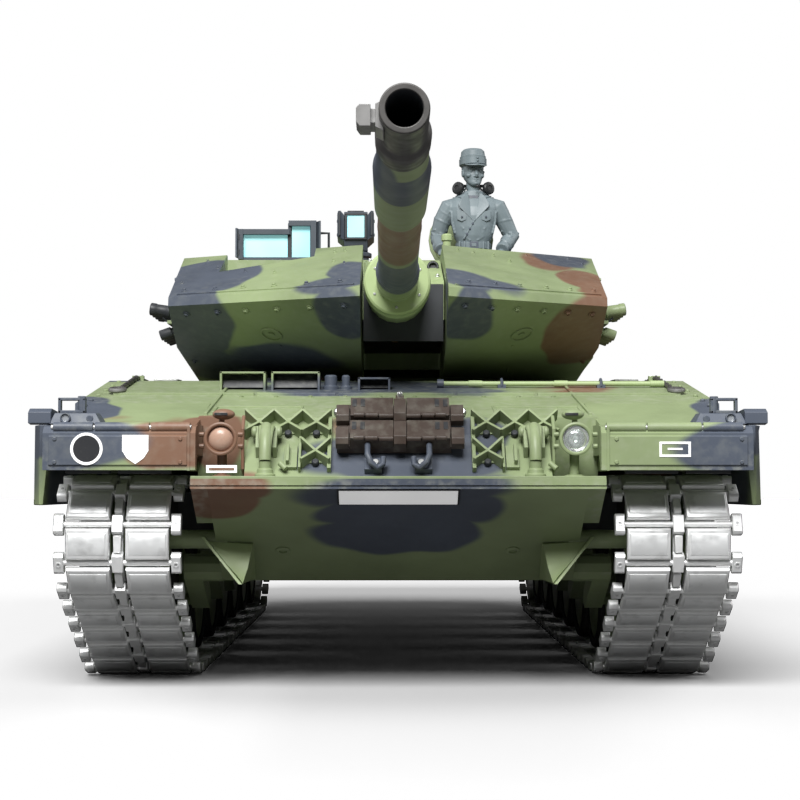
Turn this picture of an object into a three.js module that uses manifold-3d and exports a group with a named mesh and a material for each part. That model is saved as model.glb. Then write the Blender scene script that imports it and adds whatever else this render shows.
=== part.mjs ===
// A 1:16 radio-controlled battle tank, as an assembly of separate pieces.
// Units are millimetres, +Z is up, and the tank faces -Y. The origin is on the ground, under
// the middle of the object's box. "left" and "right" are the driver's, so left is +X.
// A station is a distance back from the hull's nose, and at(station) is its Y.
import * as THREE from "three";
import { mergeVertices } from "three/addons/utils/BufferGeometryUtils.js";
import { ConvexGeometry } from "three/addons/geometries/ConvexGeometry.js";
import Module from "manifold-3d";

const wasm = await Module();
wasm.setup();

// ---- driving dimensions ------------------------------------------------------------------
const OVERALL_LENGTH = 685; // muzzle to tail
const HULL_LENGTH = 482;
const NOSE_Y = OVERALL_LENGTH / 2 - HULL_LENGTH;
const MUZZLE_STATION = HULL_LENGTH - OVERALL_LENGTH;
const GAP = 0.3; // clearance between touching pieces

const HULL_HALF = 107.7; // half width over the sponsons
const SKIRT_HALF = 117.5; // half width over the side skirts
const NOSE_HALF = 63;
const TUB_HALF = 58;
const WALL = 2.5;
const BELLY_Z = 33.4;
const SPLIT_Z = 64.5; // where the lower and upper hull meet
const SPONSON_Z = 70;
const ROOF_Z = 104.2;
const GLACIS_END = 128; // station where the sloped front deck meets the flat roof

const TRACK_X = 87; // half the track gauge
const TRACK_HALF = 19.8;
const TRACK_THICK = 3.6;
const LINKS = 84;
const PITCH_OUT = TRACK_THICK / 2; // the pitch line is the middle of the band

const WHEEL_STATIONS = [0, 1, 2, 3, 4, 5, 6].map((i) => 82 + i * 51.5);
const WHEEL_Z = 25.5;
const WHEEL_R = 21.55;
const WHEEL_HALF = 13.25;
const HORN_GAP = 2.4; // half the gap between the twin discs, where the guide horns run
const ARM_REACH = 24;
const ARM_PIVOT_Z = 37.5;
const IDLER = { station: 33, z: 47.6, r: 16.5 };
const SPROCKET = { station: 437, z: 46.5, r: 17.9, teeth: 11 };
const ROLLER_STATIONS = [107.75, 210.75, 313.75, 404.5];
const ROLLER = { z: 58.4, r: 5.5 };

const TURRET_STATION = 237; // the turret's axis
const TURRET_BASE = 107.5;
const TURRET_TOP = 158.8;
const RING_R = 60; // turret ring opening in the hull roof
const GUN_Z = 136;
const TRUNNION_STATION = 168;
const SLOT = { right: -13.1, left: 18 }; // the mantlet's slot between the armour wedges
const LOADER = { x: 32, station: 258 };
const COMMANDER = { x: -38, station: 262 };

// ---- materials ---------------------------------------------------------------------------
const paint = (color) => new THREE.MeshStandardMaterial({ color, roughness: 0.55, metalness: 0 });
const GREEN = paint(0x6f8a56);
const SLATE = paint(0x3b4652);
const BROWN = paint(0x5b3f33);
const FIGURE_GREY = paint(0x7f8e93);
const PLASTIC = new THREE.MeshStandardMaterial({ color: 0x1d1f21, roughness: 0.6, metalness: 0 });
const RUBBER = new THREE.MeshStandardMaterial({ color: 0x23231f, roughness: 0.85, metalness: 0 });
const TRACK_METAL = new THREE.MeshStandardMaterial({ color: 0xb5b9bb, roughness: 0.4, metalness: 1 });
const GUNMETAL = new THREE.MeshStandardMaterial({ color: 0x4b4a48, roughness: 0.45, metalness: 0.6 });
const BOARD = new THREE.MeshStandardMaterial({ color: 0x1f5a35, roughness: 0.6, metalness: 0 });

// ---- shape helpers -----------------------------------------------------------------------
const at = (station) => NOSE_Y + station;

// Turns a closed three.js geometry into a solid that can be joined and cut.
function solid(geometry) {
  const bare = geometry.index ? geometry.toNonIndexed() : geometry.clone();
  for (const name of Object.keys(bare.attributes)) if (name !== "position") bare.deleteAttribute(name);
  const merged = mergeVertices(bare, 1e-4);
  const triVerts = new Uint32Array(merged.index.array);
  const made = new wasm.Manifold(
    new wasm.Mesh({ numProp: 3, vertProperties: new Float32Array(merged.attributes.position.array), triVerts }),
  );
  return made;
}

const join = (...solids) => solids.reduce((all, next) => all.add(next));
const cut = (base, ...tools) => tools.reduce((left, tool) => left.subtract(tool), base);

function meshOf(name, made, material) {
  const out = made.getMesh();
  const geometry = new THREE.BufferGeometry();
  geometry.setAttribute("position", new THREE.BufferAttribute(new Float32Array(out.vertProperties), 3));
  geometry.setIndex(new THREE.BufferAttribute(new Uint32Array(out.triVerts), 1));
  geometry.computeVertexNormals();
  const mesh = new THREE.Mesh(geometry, material);
  mesh.name = name;
  return mesh;
}

const shapeOf = (points) => new THREE.Shape(points.map(([u, v]) => new THREE.Vector2(u, v)));

// A side profile of [station, z] points, carried from x0 to x1.
function alongX(profile, x0, x1) {
  const geometry = new THREE.ExtrudeGeometry(shapeOf(profile), { depth: x1 - x0, bevelEnabled: false });
  const turn = new THREE.Matrix4().makeBasis(
    new THREE.Vector3(0, 1, 0),
    new THREE.Vector3(0, 0, 1),
    new THREE.Vector3(1, 0, 0),
  );
  return solid(geometry.applyMatrix4(turn).translate(x0, NOSE_Y, 0));
}

// A cross-section of [x, z] points, carried from one station to another.
function alongY(section, from, to) {
  const geometry = new THREE.ExtrudeGeometry(shapeOf(section), { depth: to - from, bevelEnabled: false });
  return solid(geometry.rotateX(Math.PI / 2).translate(0, at(to), 0));
}

// A plan outline of [x, station] points, carried from z0 to z1.
function alongZ(plan, z0, z1) {
  const geometry = new THREE.ExtrudeGeometry(shapeOf(plan), { depth: z1 - z0, bevelEnabled: false });
  return solid(geometry.translate(0, NOSE_Y, z0));
}

function box(x0, x1, from, to, z0, z1) {
  const geometry = new THREE.BoxGeometry(x1 - x0, to - from, z1 - z0);
  return solid(geometry.translate((x0 + x1) / 2, at((from + to) / 2), (z0 + z1) / 2));
}

// A round bar; axis is "x", "y" or "z", and the other two numbers place its centre line.
function bar(axis, r, start, end, u, v, sides = 12) {
  const geometry = new THREE.CylinderGeometry(r, r, end - start, sides);
  const middle = (start + end) / 2;
  if (axis === "x") geometry.rotateZ(Math.PI / 2).translate(middle, at(u), v);
  if (axis === "y") geometry.translate(u, at(middle), v);
  if (axis === "z") geometry.rotateX(Math.PI / 2).translate(u, at(v), middle);
  return solid(geometry);
}

// A turned piece on the X axis: the profile holds [radius, x] points and closes on itself.
function turnedX(profile, x, station, z, sides) {
  const area = profile.reduce((sum, [r, w], i) => {
    const [r2, w2] = profile[(i + 1) % profile.length];
    return sum + r * w2 - r2 * w;
  }, 0);
  const ordered = area > 0 ? profile : [...profile].reverse();
  const points = [...ordered, ordered[0]].map(([r, w]) => new THREE.Vector2(r, w));
  const geometry = new THREE.LatheGeometry(points, sides);
  return solid(geometry.rotateZ(-Math.PI / 2).translate(x, at(station), z));
}

function convex(corners) {
  return solid(new ConvexGeometry(corners.map(([x, station, z]) => new THREE.Vector3(x, at(station), z))));
}

function ball(r, x, station, z, stretch = [1, 1, 1]) {
  return solid(new THREE.SphereGeometry(r, 12, 8).scale(...stretch).translate(x, at(station), z));
}

// A tapered limb between two [x, station, z] points.
function limb(a, b, ra, rb, sides = 8) {
  const from = new THREE.Vector3(a[0], at(a[1]), a[2]);
  const to = new THREE.Vector3(b[0], at(b[1]), b[2]);
  const way = to.clone().sub(from);
  const geometry = new THREE.CylinderGeometry(rb, ra, way.length(), sides);
  const turn = new THREE.Quaternion().setFromUnitVectors(new THREE.Vector3(0, 1, 0), way.clone().normalize());
  geometry.applyQuaternion(turn).translate(...from.add(to).divideScalar(2).toArray());
  return solid(geometry);
}

const mirrored = (made) => made.mirror([1, 0, 0]);
const sides = [
  ["left", 1],
  ["right", -1],
];
const onSide = (made, sign) => (sign > 0 ? made : mirrored(made));

const tank = new THREE.Group();
const add = (name, made, material) => tank.add(meshOf(name, made, material));

// ---- lower hull: a tub that is open at the top ---------------------------------------------
const LOWER_PROFILE = [
  [0, SPLIT_Z], [54, BELLY_Z], [425, BELLY_Z], [470, 50], [474, SPLIT_Z],
];
const LOWER_INSIDE = [
  [24, SPLIT_Z + 1], [30, 50.7], [56, BELLY_Z + WALL], [424, BELLY_Z + WALL], [467, 51.5], [471, SPLIT_Z + 1],
];
const armPivot = (i) => WHEEL_STATIONS[i] - ARM_REACH;

function lowerHull() {
  const tub = alongX(LOWER_PROFILE, -TUB_HALF, TUB_HALF);
  const noseBlock = alongX([[0, SPLIT_Z], [20, 53], [34, 53], [34, SPLIT_Z]], -NOSE_HALF, NOSE_HALF);
  const inside = alongX(LOWER_INSIDE, WALL - TUB_HALF, TUB_HALF - WALL);
  let made = cut(join(tub, noseBlock), inside);
  for (const [, sign] of sides) {
    const ends = [WALL + 52, TRACK_X + 12].map((x) => sign * x).sort((a, b) => a - b);
    made = join(made, bar("x", 3, ends[0], ends[1], IDLER.station, IDLER.z));
    const wall = [TUB_HALF - 4, TUB_HALF + 1].map((x) => sign * x).sort((a, b) => a - b);
    for (let i = 0; i < WHEEL_STATIONS.length; i++)
      made = cut(made, bar("x", 2.5, wall[0], wall[1], armPivot(i), ARM_PIVOT_Z, 10));
    made = cut(made, bar("x", 3.2, wall[0], wall[1], SPROCKET.station, SPROCKET.z));
  }
  return made;
}
add("lower_hull", lowerHull(), GREEN);

// ---- upper hull: nose, sloped front deck, sponsons with mudguards, and roof ----------------
const REAR_EDGE = [[GLACIS_END, ROOF_Z], [HULL_LENGTH, ROOF_Z], [HULL_LENGTH, 98], [477, 68], [477, SPLIT_Z + GAP]];
const DECK = { from: 340, to: 470, half: 75, sink: 1.5, top: 105 };

function upperHull() {
  const low = SPLIT_Z + GAP;
  const rackFront = alongX([[0, low], [0, 66.8], [3, 67.2], [20, 86], ...REAR_EDGE], -47, 47);
  const lampShelf = alongX([[0, low], [0, 66.8], [22, 66.8], [22, 86.3], ...REAR_EDGE], -NOSE_HALF, NOSE_HALF);
  const sponson = alongX(
    [
      [0, 69.4], [0, 80.6], [2, 82.6], [8, 83.4], [55, 84.2], [55, 92.2],
      [GLACIS_END, ROOF_Z], [HULL_LENGTH, ROOF_Z], [HULL_LENGTH, 98], [479, SPONSON_Z],
      [62, SPONSON_Z], [56, 74], [6, 74], [3, 69.4],
    ],
    61.5,
    HULL_HALF,
  );
  const inside = alongX([[30, 60], [30, 84], [GLACIS_END, 101.2], [470, 101.2], [470, 60]], -54, 54);
  const ring = bar("z", RING_R, 95, 110, 0, TURRET_STATION, 32);
  const deckPocket = box(-DECK.half, DECK.half, DECK.from, DECK.to, ROOF_Z - DECK.sink, 110);
  return cut(join(rackFront, lampShelf, sponson, mirrored(sponson)), inside, ring, deckPocket);
}
add("upper_hull", upperHull(), GREEN);
add(
  "engine_deck",
  box(
    GAP - DECK.half, DECK.half - GAP, DECK.from + GAP, DECK.to - GAP, ROOF_Z - DECK.sink + GAP, DECK.top,
  ),
  GREEN,
);

// ---- pieces on the hull ----------------------------------------------------------------------
const SKIRT_SECTION = [
  [HULL_HALF + GAP, 74], [HULL_HALF + GAP, 84], [SKIRT_HALF - 1, 84], [SKIRT_HALF, 82.4],
  [SKIRT_HALF - 0.9, 58.6], [SKIRT_HALF - 5, 58.6], [SKIRT_HALF - 6.3, 72],
];
const SKIRT_PLAN = [
  [HULL_HALF, 26], [HULL_HALF + 6, 26], [SKIRT_HALF + 1, 37], [SKIRT_HALF + 1, 474], [HULL_HALF, 474],
];
for (const [name, sign] of sides) {
  const skirt = alongY(SKIRT_SECTION, 25, 475).intersect(alongZ(SKIRT_PLAN, 50, 95));
  add(`skirt_${name}`, onSide(skirt, sign), GREEN);

  const lamp = join(bar("y", 5.1, 4, 14, 54.3, 79, 20), box(52.6, 56, 7, 12, 66.8 + GAP, 76));
  add(`headlight_${name}`, onSide(lamp, sign), GREEN);
}

// Two rows of spare track pads, lying on the steep front plate.
add(
  "spare_track_rack",
  alongX([[8.8, 74.6], [6.4, 76.8], [16.8, 89.6], [21.9, 90.2], [22, 87.2], [19.6, 86.2]], -18.9, 16.3),
  BROWN,
);
add(
  "driver_hatch",
  alongZ(
    [[-60, 147], [-56, 142], [-28, 142], [-24, 147], [-24, 168], [-29, 173], [-55, 173], [-60, 168]],
    ROOF_Z + GAP,
    106.2,
  ),
  GREEN,
);

// ---- inside the hull ---------------------------------------------------------------------------
const FLOOR_Z = BELLY_Z + WALL + GAP;
function driveGearboxes() {
  const casing = box(-42, 42, 402, 418, FLOOR_Z, 60);
  const outputs = [-1, 1].map((side) => box(Math.min(side * 20, side * 44), Math.max(side * 20, side * 44), 417, 447, 45.5, 58));
  const motors = [-1, 1].map((side) => bar("y", 12, 350, 403, side * 20, 49, 12));
  return join(casing, ...outputs, ...motors);
}
add("drive_gearboxes", driveGearboxes(), PLASTIC);
add("battery_pack", box(-24, 24, 110, 232, FLOOR_Z, 57), PLASTIC);
add("control_board", join(box(-36, 36, 250, 335, FLOOR_Z + 2, FLOOR_Z + 4), box(-30, 30, 256, 329, FLOOR_Z, FLOOR_Z + 12)), BOARD);

// ---- running gear ------------------------------------------------------------------------------
const tyre = [
  [2.3, -11], [15.5, -8.5], [17, -WHEEL_HALF], [WHEEL_R, -WHEEL_HALF], [WHEEL_R, -HORN_GAP], [14.6, -HORN_GAP],
  [14.6, HORN_GAP], [WHEEL_R, HORN_GAP], [WHEEL_R, WHEEL_HALF], [2.3, WHEEL_HALF],
];
// The dished face of a wheel is its outer one, away from the hull.
const facing = (profile, sign) => profile.map(([r, w]) => [r, -sign * w]);

function swingArm(i) {
  const wheel = [WHEEL_STATIONS[i], WHEEL_Z];
  const pivot = [armPivot(i), ARM_PIVOT_Z];
  const lean = Math.atan2(pivot[1] - wheel[1], wheel[0] - pivot[0]);
  const [nx, nz] = [Math.sin(lean), Math.cos(lean)];
  const [fx, fz] = [Math.cos(lean), -Math.sin(lean)];
  const plate = alongX(
    [
      [pivot[0] - nx * 4.5, pivot[1] - nz * 4.5], [wheel[0] - nx * 3.4, wheel[1] - nz * 3.4],
      [wheel[0] + fx * 3.4, wheel[1] + fz * 3.4], [wheel[0] + nx * 3.4, wheel[1] + nz * 3.4],
      [pivot[0] + nx * 4.5, pivot[1] + nz * 4.5], [pivot[0] - fx * 4.5, pivot[1] - fz * 4.5],
    ],
    65,
    71,
  );
  const boss = bar("x", 4.6, TUB_HALF + GAP, 71, pivot[0], pivot[1], 10);
  const pin = bar("x", 2.1, TUB_HALF - 3.6, TUB_HALF + 1, pivot[0], pivot[1], 10);
  const axle = bar("x", 2, 70, TRACK_X + WHEEL_HALF - 1, wheel[0], wheel[1], 10);
  return join(plate, boss, pin, axle);
}

function idlerWheel(sign) {
  const half = 12.5;
  const profile = [
    [3.3, -10], [11, -7.5], [13, -half], [IDLER.r, -half], [IDLER.r, -HORN_GAP], [10.4, -HORN_GAP],
    [10.4, HORN_GAP], [IDLER.r, HORN_GAP], [IDLER.r, half], [3.3, half],
  ];
  return turnedX(facing(profile, sign), sign * TRACK_X, IDLER.station, IDLER.z, 20);
}

// One toothed ring, as a side outline round the sprocket's own centre.
function toothedRing(x0, x1) {
  const outline = [];
  for (let i = 0; i < SPROCKET.teeth; i++) {
    const step = (2 * Math.PI) / SPROCKET.teeth;
    for (const [share, r] of [[-0.32, 14.6], [-0.14, SPROCKET.r], [0.14, SPROCKET.r], [0.32, 14.6]]) {
      const angle = (i + share) * step;
      outline.push([SPROCKET.station + r * Math.cos(angle), SPROCKET.z + r * Math.sin(angle)]);
    }
  }
  return alongX(outline, x0, x1);
}

function sprocket() {
  const drum = bar("x", 11.5, TRACK_X - 15, TRACK_X + 15, SPROCKET.station, SPROCKET.z, 20);
  const hub = bar("x", 6, TRACK_X + 14, TRACK_X + 18, SPROCKET.station, SPROCKET.z);
  const shaft = bar("x", 2.6, 45, TRACK_X - 14, SPROCKET.station, SPROCKET.z);
  return join(drum, hub, shaft, toothedRing(TRACK_X - 15.5, TRACK_X - 11.5), toothedRing(TRACK_X + 11.5, TRACK_X + 15.5));
}

function returnRollers() {
  const rail = box(TUB_HALF + GAP, 61, 88, 412, ROLLER.z - 2.5, ROLLER.z + 2.5);
  const rollers = ROLLER_STATIONS.map((station) =>
    join(bar("x", 2, 60, 76, station, ROLLER.z, 8), bar("x", ROLLER.r, 75, 99, station, ROLLER.z, 12)),
  );
  return join(rail, ...rollers);
}

for (const [name, sign] of sides) {
  for (let i = 0; i < WHEEL_STATIONS.length; i++) {
    const wheel = turnedX(facing(tyre, sign), sign * TRACK_X, WHEEL_STATIONS[i], WHEEL_Z, 16);
    add(`road_wheel_${name}_${i + 1}`, wheel, RUBBER);
    add(`swing_arm_${name}_${i + 1}`, onSide(swingArm(i), sign), GREEN);
  }
  add(`idler_wheel_${name}`, idlerWheel(sign), RUBBER);
  add(`drive_sprocket_${name}`, onSide(sprocket(), sign), SLATE);
  add(`return_rollers_${name}`, onSide(returnRollers(), sign), RUBBER);
}

// ---- tracks --------------------------------------------------------------------------------------
// The pitch line runs round four circles: first wheel, last wheel, sprocket and idler.
const CIRCLES = [
  { y: WHEEL_STATIONS[0], z: WHEEL_Z, r: WHEEL_Z - PITCH_OUT },
  { y: WHEEL_STATIONS[6], z: WHEEL_Z, r: WHEEL_Z - PITCH_OUT },
  { y: SPROCKET.station, z: SPROCKET.z, r: 20.2 },
  { y: IDLER.station, z: IDLER.z, r: 18.7 },
];

// Tangent lines and arcs of the closed loop, run along the ground to the rear and back over the top.
function trackRuns() {
  const tangents = CIRCLES.map((a, i) => {
    const b = CIRCLES[(i + 1) % CIRCLES.length];
    const distance = Math.hypot(b.y - a.y, b.z - a.z);
    const heading = Math.atan2(b.z - a.z, b.y - a.y) + Math.asin((b.r - a.r) / distance) * -1;
    const [ny, nz] = [Math.sin(heading), -Math.cos(heading)];
    return {
      heading,
      start: [a.y + ny * a.r, a.z + nz * a.r],
      end: [b.y + ny * b.r, b.z + nz * b.r],
    };
  });
  const runs = [];
  tangents.forEach((line, i) => {
    runs.push({ length: Math.hypot(line.end[0] - line.start[0], line.end[1] - line.start[1]), line });
    const next = tangents[(i + 1) % tangents.length];
    let turn = next.heading - line.heading;
    while (turn < 0) turn += 2 * Math.PI;
    while (turn > Math.PI * 1.9) turn -= 2 * Math.PI;
    runs.push({ length: CIRCLES[(i + 1) % CIRCLES.length].r * turn, arc: CIRCLES[(i + 1) % CIRCLES.length], from: line.heading, turn });
  });
  return runs;
}
const RUNS = trackRuns();
const LOOP_LENGTH = RUNS.reduce((sum, run) => sum + run.length, 0);

// The point at a distance round the pitch line, moved outwards by lift.
function onTrack(distance, lift) {
  let left = ((distance % LOOP_LENGTH) + LOOP_LENGTH) % LOOP_LENGTH;
  for (const run of RUNS) {
    if (left > run.length) {
      left -= run.length;
      continue;
    }
    const share = left / run.length;
    if (run.line) {
      const { start, end, heading } = run.line;
      return [
        start[0] + (end[0] - start[0]) * share + Math.sin(heading) * lift,
        start[1] + (end[1] - start[1]) * share - Math.cos(heading) * lift,
      ];
    }
    const heading = run.from + run.turn * share;
    return [
      run.arc.y + Math.sin(heading) * (run.arc.r + lift),
      run.arc.z - Math.cos(heading) * (run.arc.r + lift),
    ];
  }
  return onTrack(0, lift);
}

function trackBand() {
  const pitch = LOOP_LENGTH / LINKS;
  const pad = 0.41; // half a pad's length, as a share of the pitch
  const outer = [];
  const inner = [];
  for (let i = 0; i < LINKS; i++) {
    const middle = i * pitch;
    outer.push(onTrack(middle - pad * pitch, PITCH_OUT - 1), onTrack(middle - pad * pitch, PITCH_OUT));
    outer.push(onTrack(middle + pad * pitch, PITCH_OUT), onTrack(middle + pad * pitch, PITCH_OUT - 1));
    inner.push(onTrack(middle, -PITCH_OUT), onTrack(middle + pitch / 2, -PITCH_OUT));
  }
  const shape = shapeOf(outer);
  shape.holes.push(new THREE.Path(inner.reverse().map(([u, v]) => new THREE.Vector2(u, v))));
  const geometry = new THREE.ExtrudeGeometry(shape, { depth: TRACK_HALF * 2, bevelEnabled: false });
  const turn = new THREE.Matrix4().makeBasis(
    new THREE.Vector3(0, 1, 0),
    new THREE.Vector3(0, 0, 1),
    new THREE.Vector3(1, 0, 0),
  );
  return solid(geometry.applyMatrix4(turn).translate(TRACK_X - TRACK_HALF, NOSE_Y, 0));
}
for (const [name, sign] of sides) add(`track_${name}`, onSide(trackBand(), sign), TRACK_METAL);

// ---- turret ----------------------------------------------------------------------------------------
// The turret body sits 3 mm to the right of the gun, as its wider sight side needs.
const TURRET_SECTION = [
  [-80, TURRET_BASE], [74, TURRET_BASE], [82, 118], [83.5, 131], [80, TURRET_TOP], [-86, TURRET_TOP], [-90, 131], [-88, 118],
];
const TURRET_REAR = 394;
const WEDGE_BACK = { inner: 160, outer: 196 };

function turretShell() {
  const body = alongY(TURRET_SECTION, 197, TURRET_REAR);
  const cheek = (x0, x1) =>
    alongZ(
      [[x0, WEDGE_BACK.inner + 1], [x0, 199], [x1, 199], [x1, WEDGE_BACK.outer + GAP], [x1 - 6, WEDGE_BACK.outer]],
      TURRET_BASE,
      TURRET_TOP - GAP,
    );
  const cheeks = [
    cheek(SLOT.left, 75),
    alongZ(
      [
        [SLOT.right, WEDGE_BACK.inner + 1], [-76, WEDGE_BACK.outer], [-79, WEDGE_BACK.outer + GAP],
        [-79, 199], [SLOT.right, 199],
      ],
      TURRET_BASE,
      147,
    ),
  ];
  const neck = bar("z", RING_R - 2, 100.5, TURRET_BASE + 1, 0, TURRET_STATION, 32);
  const cupola = bar("z", 18, TURRET_TOP - 1, TURRET_TOP + 3, COMMANDER.x, COMMANDER.station, 20);
  const loaderRing = bar("z", 17.5, TURRET_TOP - 1, TURRET_TOP + 3, LOADER.x, LOADER.station, 20);
  const inside = box(-62, 56, 203, 386, 111, 155);
  const ringBore = bar("z", RING_R - 8, 99, 113, 0, TURRET_STATION, 24);
  const loaderHole = bar("z", 14.5, 152, 164, LOADER.x, LOADER.station, 20);
  return cut(join(body, ...cheeks, neck, cupola, loaderRing), inside, ringBore, loaderHole);
}
add("turret_shell", turretShell(), GREEN);

// A wedge of add-on armour between its inner and its swept-back outer end.
function armourWedge(inner, outer, sweep) {
  const side = Math.sign(outer);
  const low = TURRET_BASE + GAP;
  return convex([
    [inner, 79.5, 131], [inner, 80.3, 134.4], [inner, 108, 115.3],
    [inner, 150, low], [inner, 157, TURRET_TOP + 0.8],
    [inner, WEDGE_BACK.inner, low], [inner, WEDGE_BACK.inner, TURRET_TOP + 0.8],
    [outer, 79.5 + sweep, 131], [outer, 80.3 + sweep, 134.4], [outer, 108 + sweep, 118],
    [outer - side * 4, 186, low], [outer + side * 3, 192, TURRET_TOP],
    [outer - side * 4, WEDGE_BACK.outer - 0.8, low], [outer, WEDGE_BACK.outer - 0.8, 118],
    [outer + side * 3, WEDGE_BACK.outer - 0.8, TURRET_TOP],
  ]);
}
add("armour_wedge_left", armourWedge(SLOT.left, 78, 36), GREEN);
const sightNotch = box(-69, -32, 150, 200, 147.2, 164);
add("armour_wedge_right", cut(armourWedge(SLOT.right, -84.5, 36), sightNotch), GREEN);

// The gunner's sight stands in the notch, with its taller half towards the gun.
add(
  "gunner_sight",
  join(
    box(-66, -43.5, 199.5, 236, TURRET_TOP + GAP, 172),
    box(-44, -33.2, 198.5, 236, TURRET_TOP + GAP, 175.6),
  ),
  SLATE,
);
add(
  "panoramic_sight",
  join(bar("z", 7.4, TURRET_TOP + GAP, 166, -17.4, 235, 16), box(-25.4, -9.4, 228, 242, 165.5, 184.5)),
  SLATE,
);
add("commander_hatch", join(
  bar("z", 14.5, TURRET_TOP + 3.3, TURRET_TOP + 5.8, COMMANDER.x, COMMANDER.station, 20),
  box(COMMANDER.x - 5, COMMANDER.x + 5, COMMANDER.station + 12, COMMANDER.station + 17.5, TURRET_TOP + 3.4, TURRET_TOP + 6.8),
), GREEN);
const LID = { x: 30.5, station: 280, z: TURRET_TOP + 20, r: 15 };
add("loader_hatch", join(
  bar("y", LID.r, LID.station - 1.3, LID.station + 1.3, LID.x, LID.z, 20),
  box(LID.x - 5, LID.x + 5, LID.station - 1.7, LID.station + 2.3, TURRET_TOP + GAP, TURRET_TOP + 9),
), GREEN);

// Two short rows of smoke dischargers on a rail, on each side of the turret.
function smokeLaunchers(wall) {
  const side = Math.sign(wall);
  const out = (d) => wall + side * d;
  const rail = box(Math.min(out(0.8), out(4)), Math.max(out(0.8), out(4)), 203, 240, 127.5, 142);
  const tubes = [];
  for (let i = 0; i < 4; i++) {
    const station = 207.5 + i * 9.2;
    tubes.push(limb([out(3), station + 1.5, 137.6], [out(12), station - 4.5, 139.4], 2.7, 2.7));
    tubes.push(limb([out(2.5), station + 3, 129.8], [out(8), station - 1, 131.5], 2.3, 2.3));
  }
  return join(rail, ...tubes);
}
add("smoke_launchers_left", smokeLaunchers(83.3), SLATE);
add("smoke_launchers_right", smokeLaunchers(-89.8), SLATE);

// ---- crew figure, from the hips up -------------------------------------------------------------
function crewFigure() {
  const [x, s] = [LOADER.x + 3.2, LOADER.station];
  const hips = bar("z", 8.6, 152, 174, LOADER.x + 2, s, 12);
  const torso = convex([
    [x - 9, s - 5.5, 172], [x + 9, s - 5.5, 172], [x - 9, s + 5.5, 172], [x + 9, s + 5.5, 172],
    [x - 12.5, s - 4, 193], [x + 12.5, s - 4, 193], [x - 12.5, s + 5, 193], [x + 12.5, s + 5, 193],
    [x - 6, s - 3, 198], [x + 6, s - 3, 198], [x - 6, s + 4, 198], [x + 6, s + 4, 198],
  ]);
  const neck = limb([x, s, 196], [x, s - 0.5, 204], 3.8, 3.6);
  const head = ball(5.6, x, s - 0.8, 206.6, [0.95, 1.1, 1.2]);
  const cap = ball(6.2, x, s, 211.8, [1, 1.08, 0.9]);
  const peak = box(x - 4.6, x + 4.6, s - 9.4, s - 3, 209, 210.4);
  const arms = [
    limb([x - 12, s, 193], [x - 16, s + 1, 177], 4.2, 3.6), ball(3.7, x - 16, s + 1, 177),
    limb([x - 16, s + 1, 177], [x - 14.2, s - 9, 168.5], 3.5, 2.9),
    limb([x + 12, s, 193], [x + 17.5, s + 1, 177], 4.2, 3.6), ball(3.7, x + 17.5, s + 1, 177),
    limb([x + 17.5, s + 1, 177], [x + 12.2, s - 8.5, 169.5], 3.5, 2.9),
  ];
  return join(hips, torso, neck, head, cap, peak, ...arms);
}
add("crew_figure", crewFigure(), FIGURE_GREY);

// ---- gun ---------------------------------------------------------------------------------------
const SLEEVE_FRONT = 80;
const BARREL_ROOT = 128;
function mantlet() {
  const r = 18.5;
  const drum = [];
  for (let i = 0; i <= 10; i++) {
    const angle = -Math.PI / 2 - 0.15 + (i / 10) * (Math.PI + 0.3);
    drum.push([TRUNNION_STATION + r * Math.cos(angle), GUN_Z + r * Math.sin(angle)]);
  }
  const block = alongX([[115, 126], ...drum, [115, 140]], SLOT.right + 0.5, SLOT.left - 0.5);
  const sleeve = limb([0, SLEEVE_FRONT, GUN_Z], [0, 122, GUN_Z], 10.4, 11.4, 20);
  const bore = bar("y", 7.5, SLEEVE_FRONT - 1, BARREL_ROOT + GAP, 0, GUN_Z, 20);
  return cut(join(block, sleeve), bore);
}
add("gun_mantlet", mantlet(), GREEN);

// Barrel profile as [radius, station] steps: muzzle, collar, front tube, fume extractor, rear tube.
const BORE_R = 3.6;
const BORE_END = MUZZLE_STATION + 70;
const BARREL = [
  [BORE_R, MUZZLE_STATION], [4.9, MUZZLE_STATION], [4.9, -180], [5.9, -179], [5.9, -170], [5.6, -168],
  [5.9, -150], [6.65, -142], [6.65, -86], [5.8, -80], [6.5, 44], [7.1, 45], [7.1, BARREL_ROOT],
  [0, BARREL_ROOT], [0, BORE_END], [BORE_R, BORE_END],
];
function barrel() {
  const points = [...BARREL, BARREL[0]].map(([r, station]) => new THREE.Vector2(r, at(station)));
  const tube = solid(new THREE.LatheGeometry(points, 20).translate(0, 0, GUN_Z));
  const collimator = box(-9, -4.2, -199, -188, GUN_Z - 2.4, GUN_Z + 1.2);
  return join(tube, collimator);
}
add("gun_barrel", barrel(), GUNMETAL);

export default tank;
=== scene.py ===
"""A radio-controlled battle tank: the detailed model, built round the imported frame.

Lengths below are millimetres. A place is (x, station, z): x is across, the station is the distance
back from the hull's nose, and z is the height above the floor.
"""
import math
import random

import bmesh
import bpy
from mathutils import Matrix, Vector
from mathutils.bvhtree import BVHTree


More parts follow.
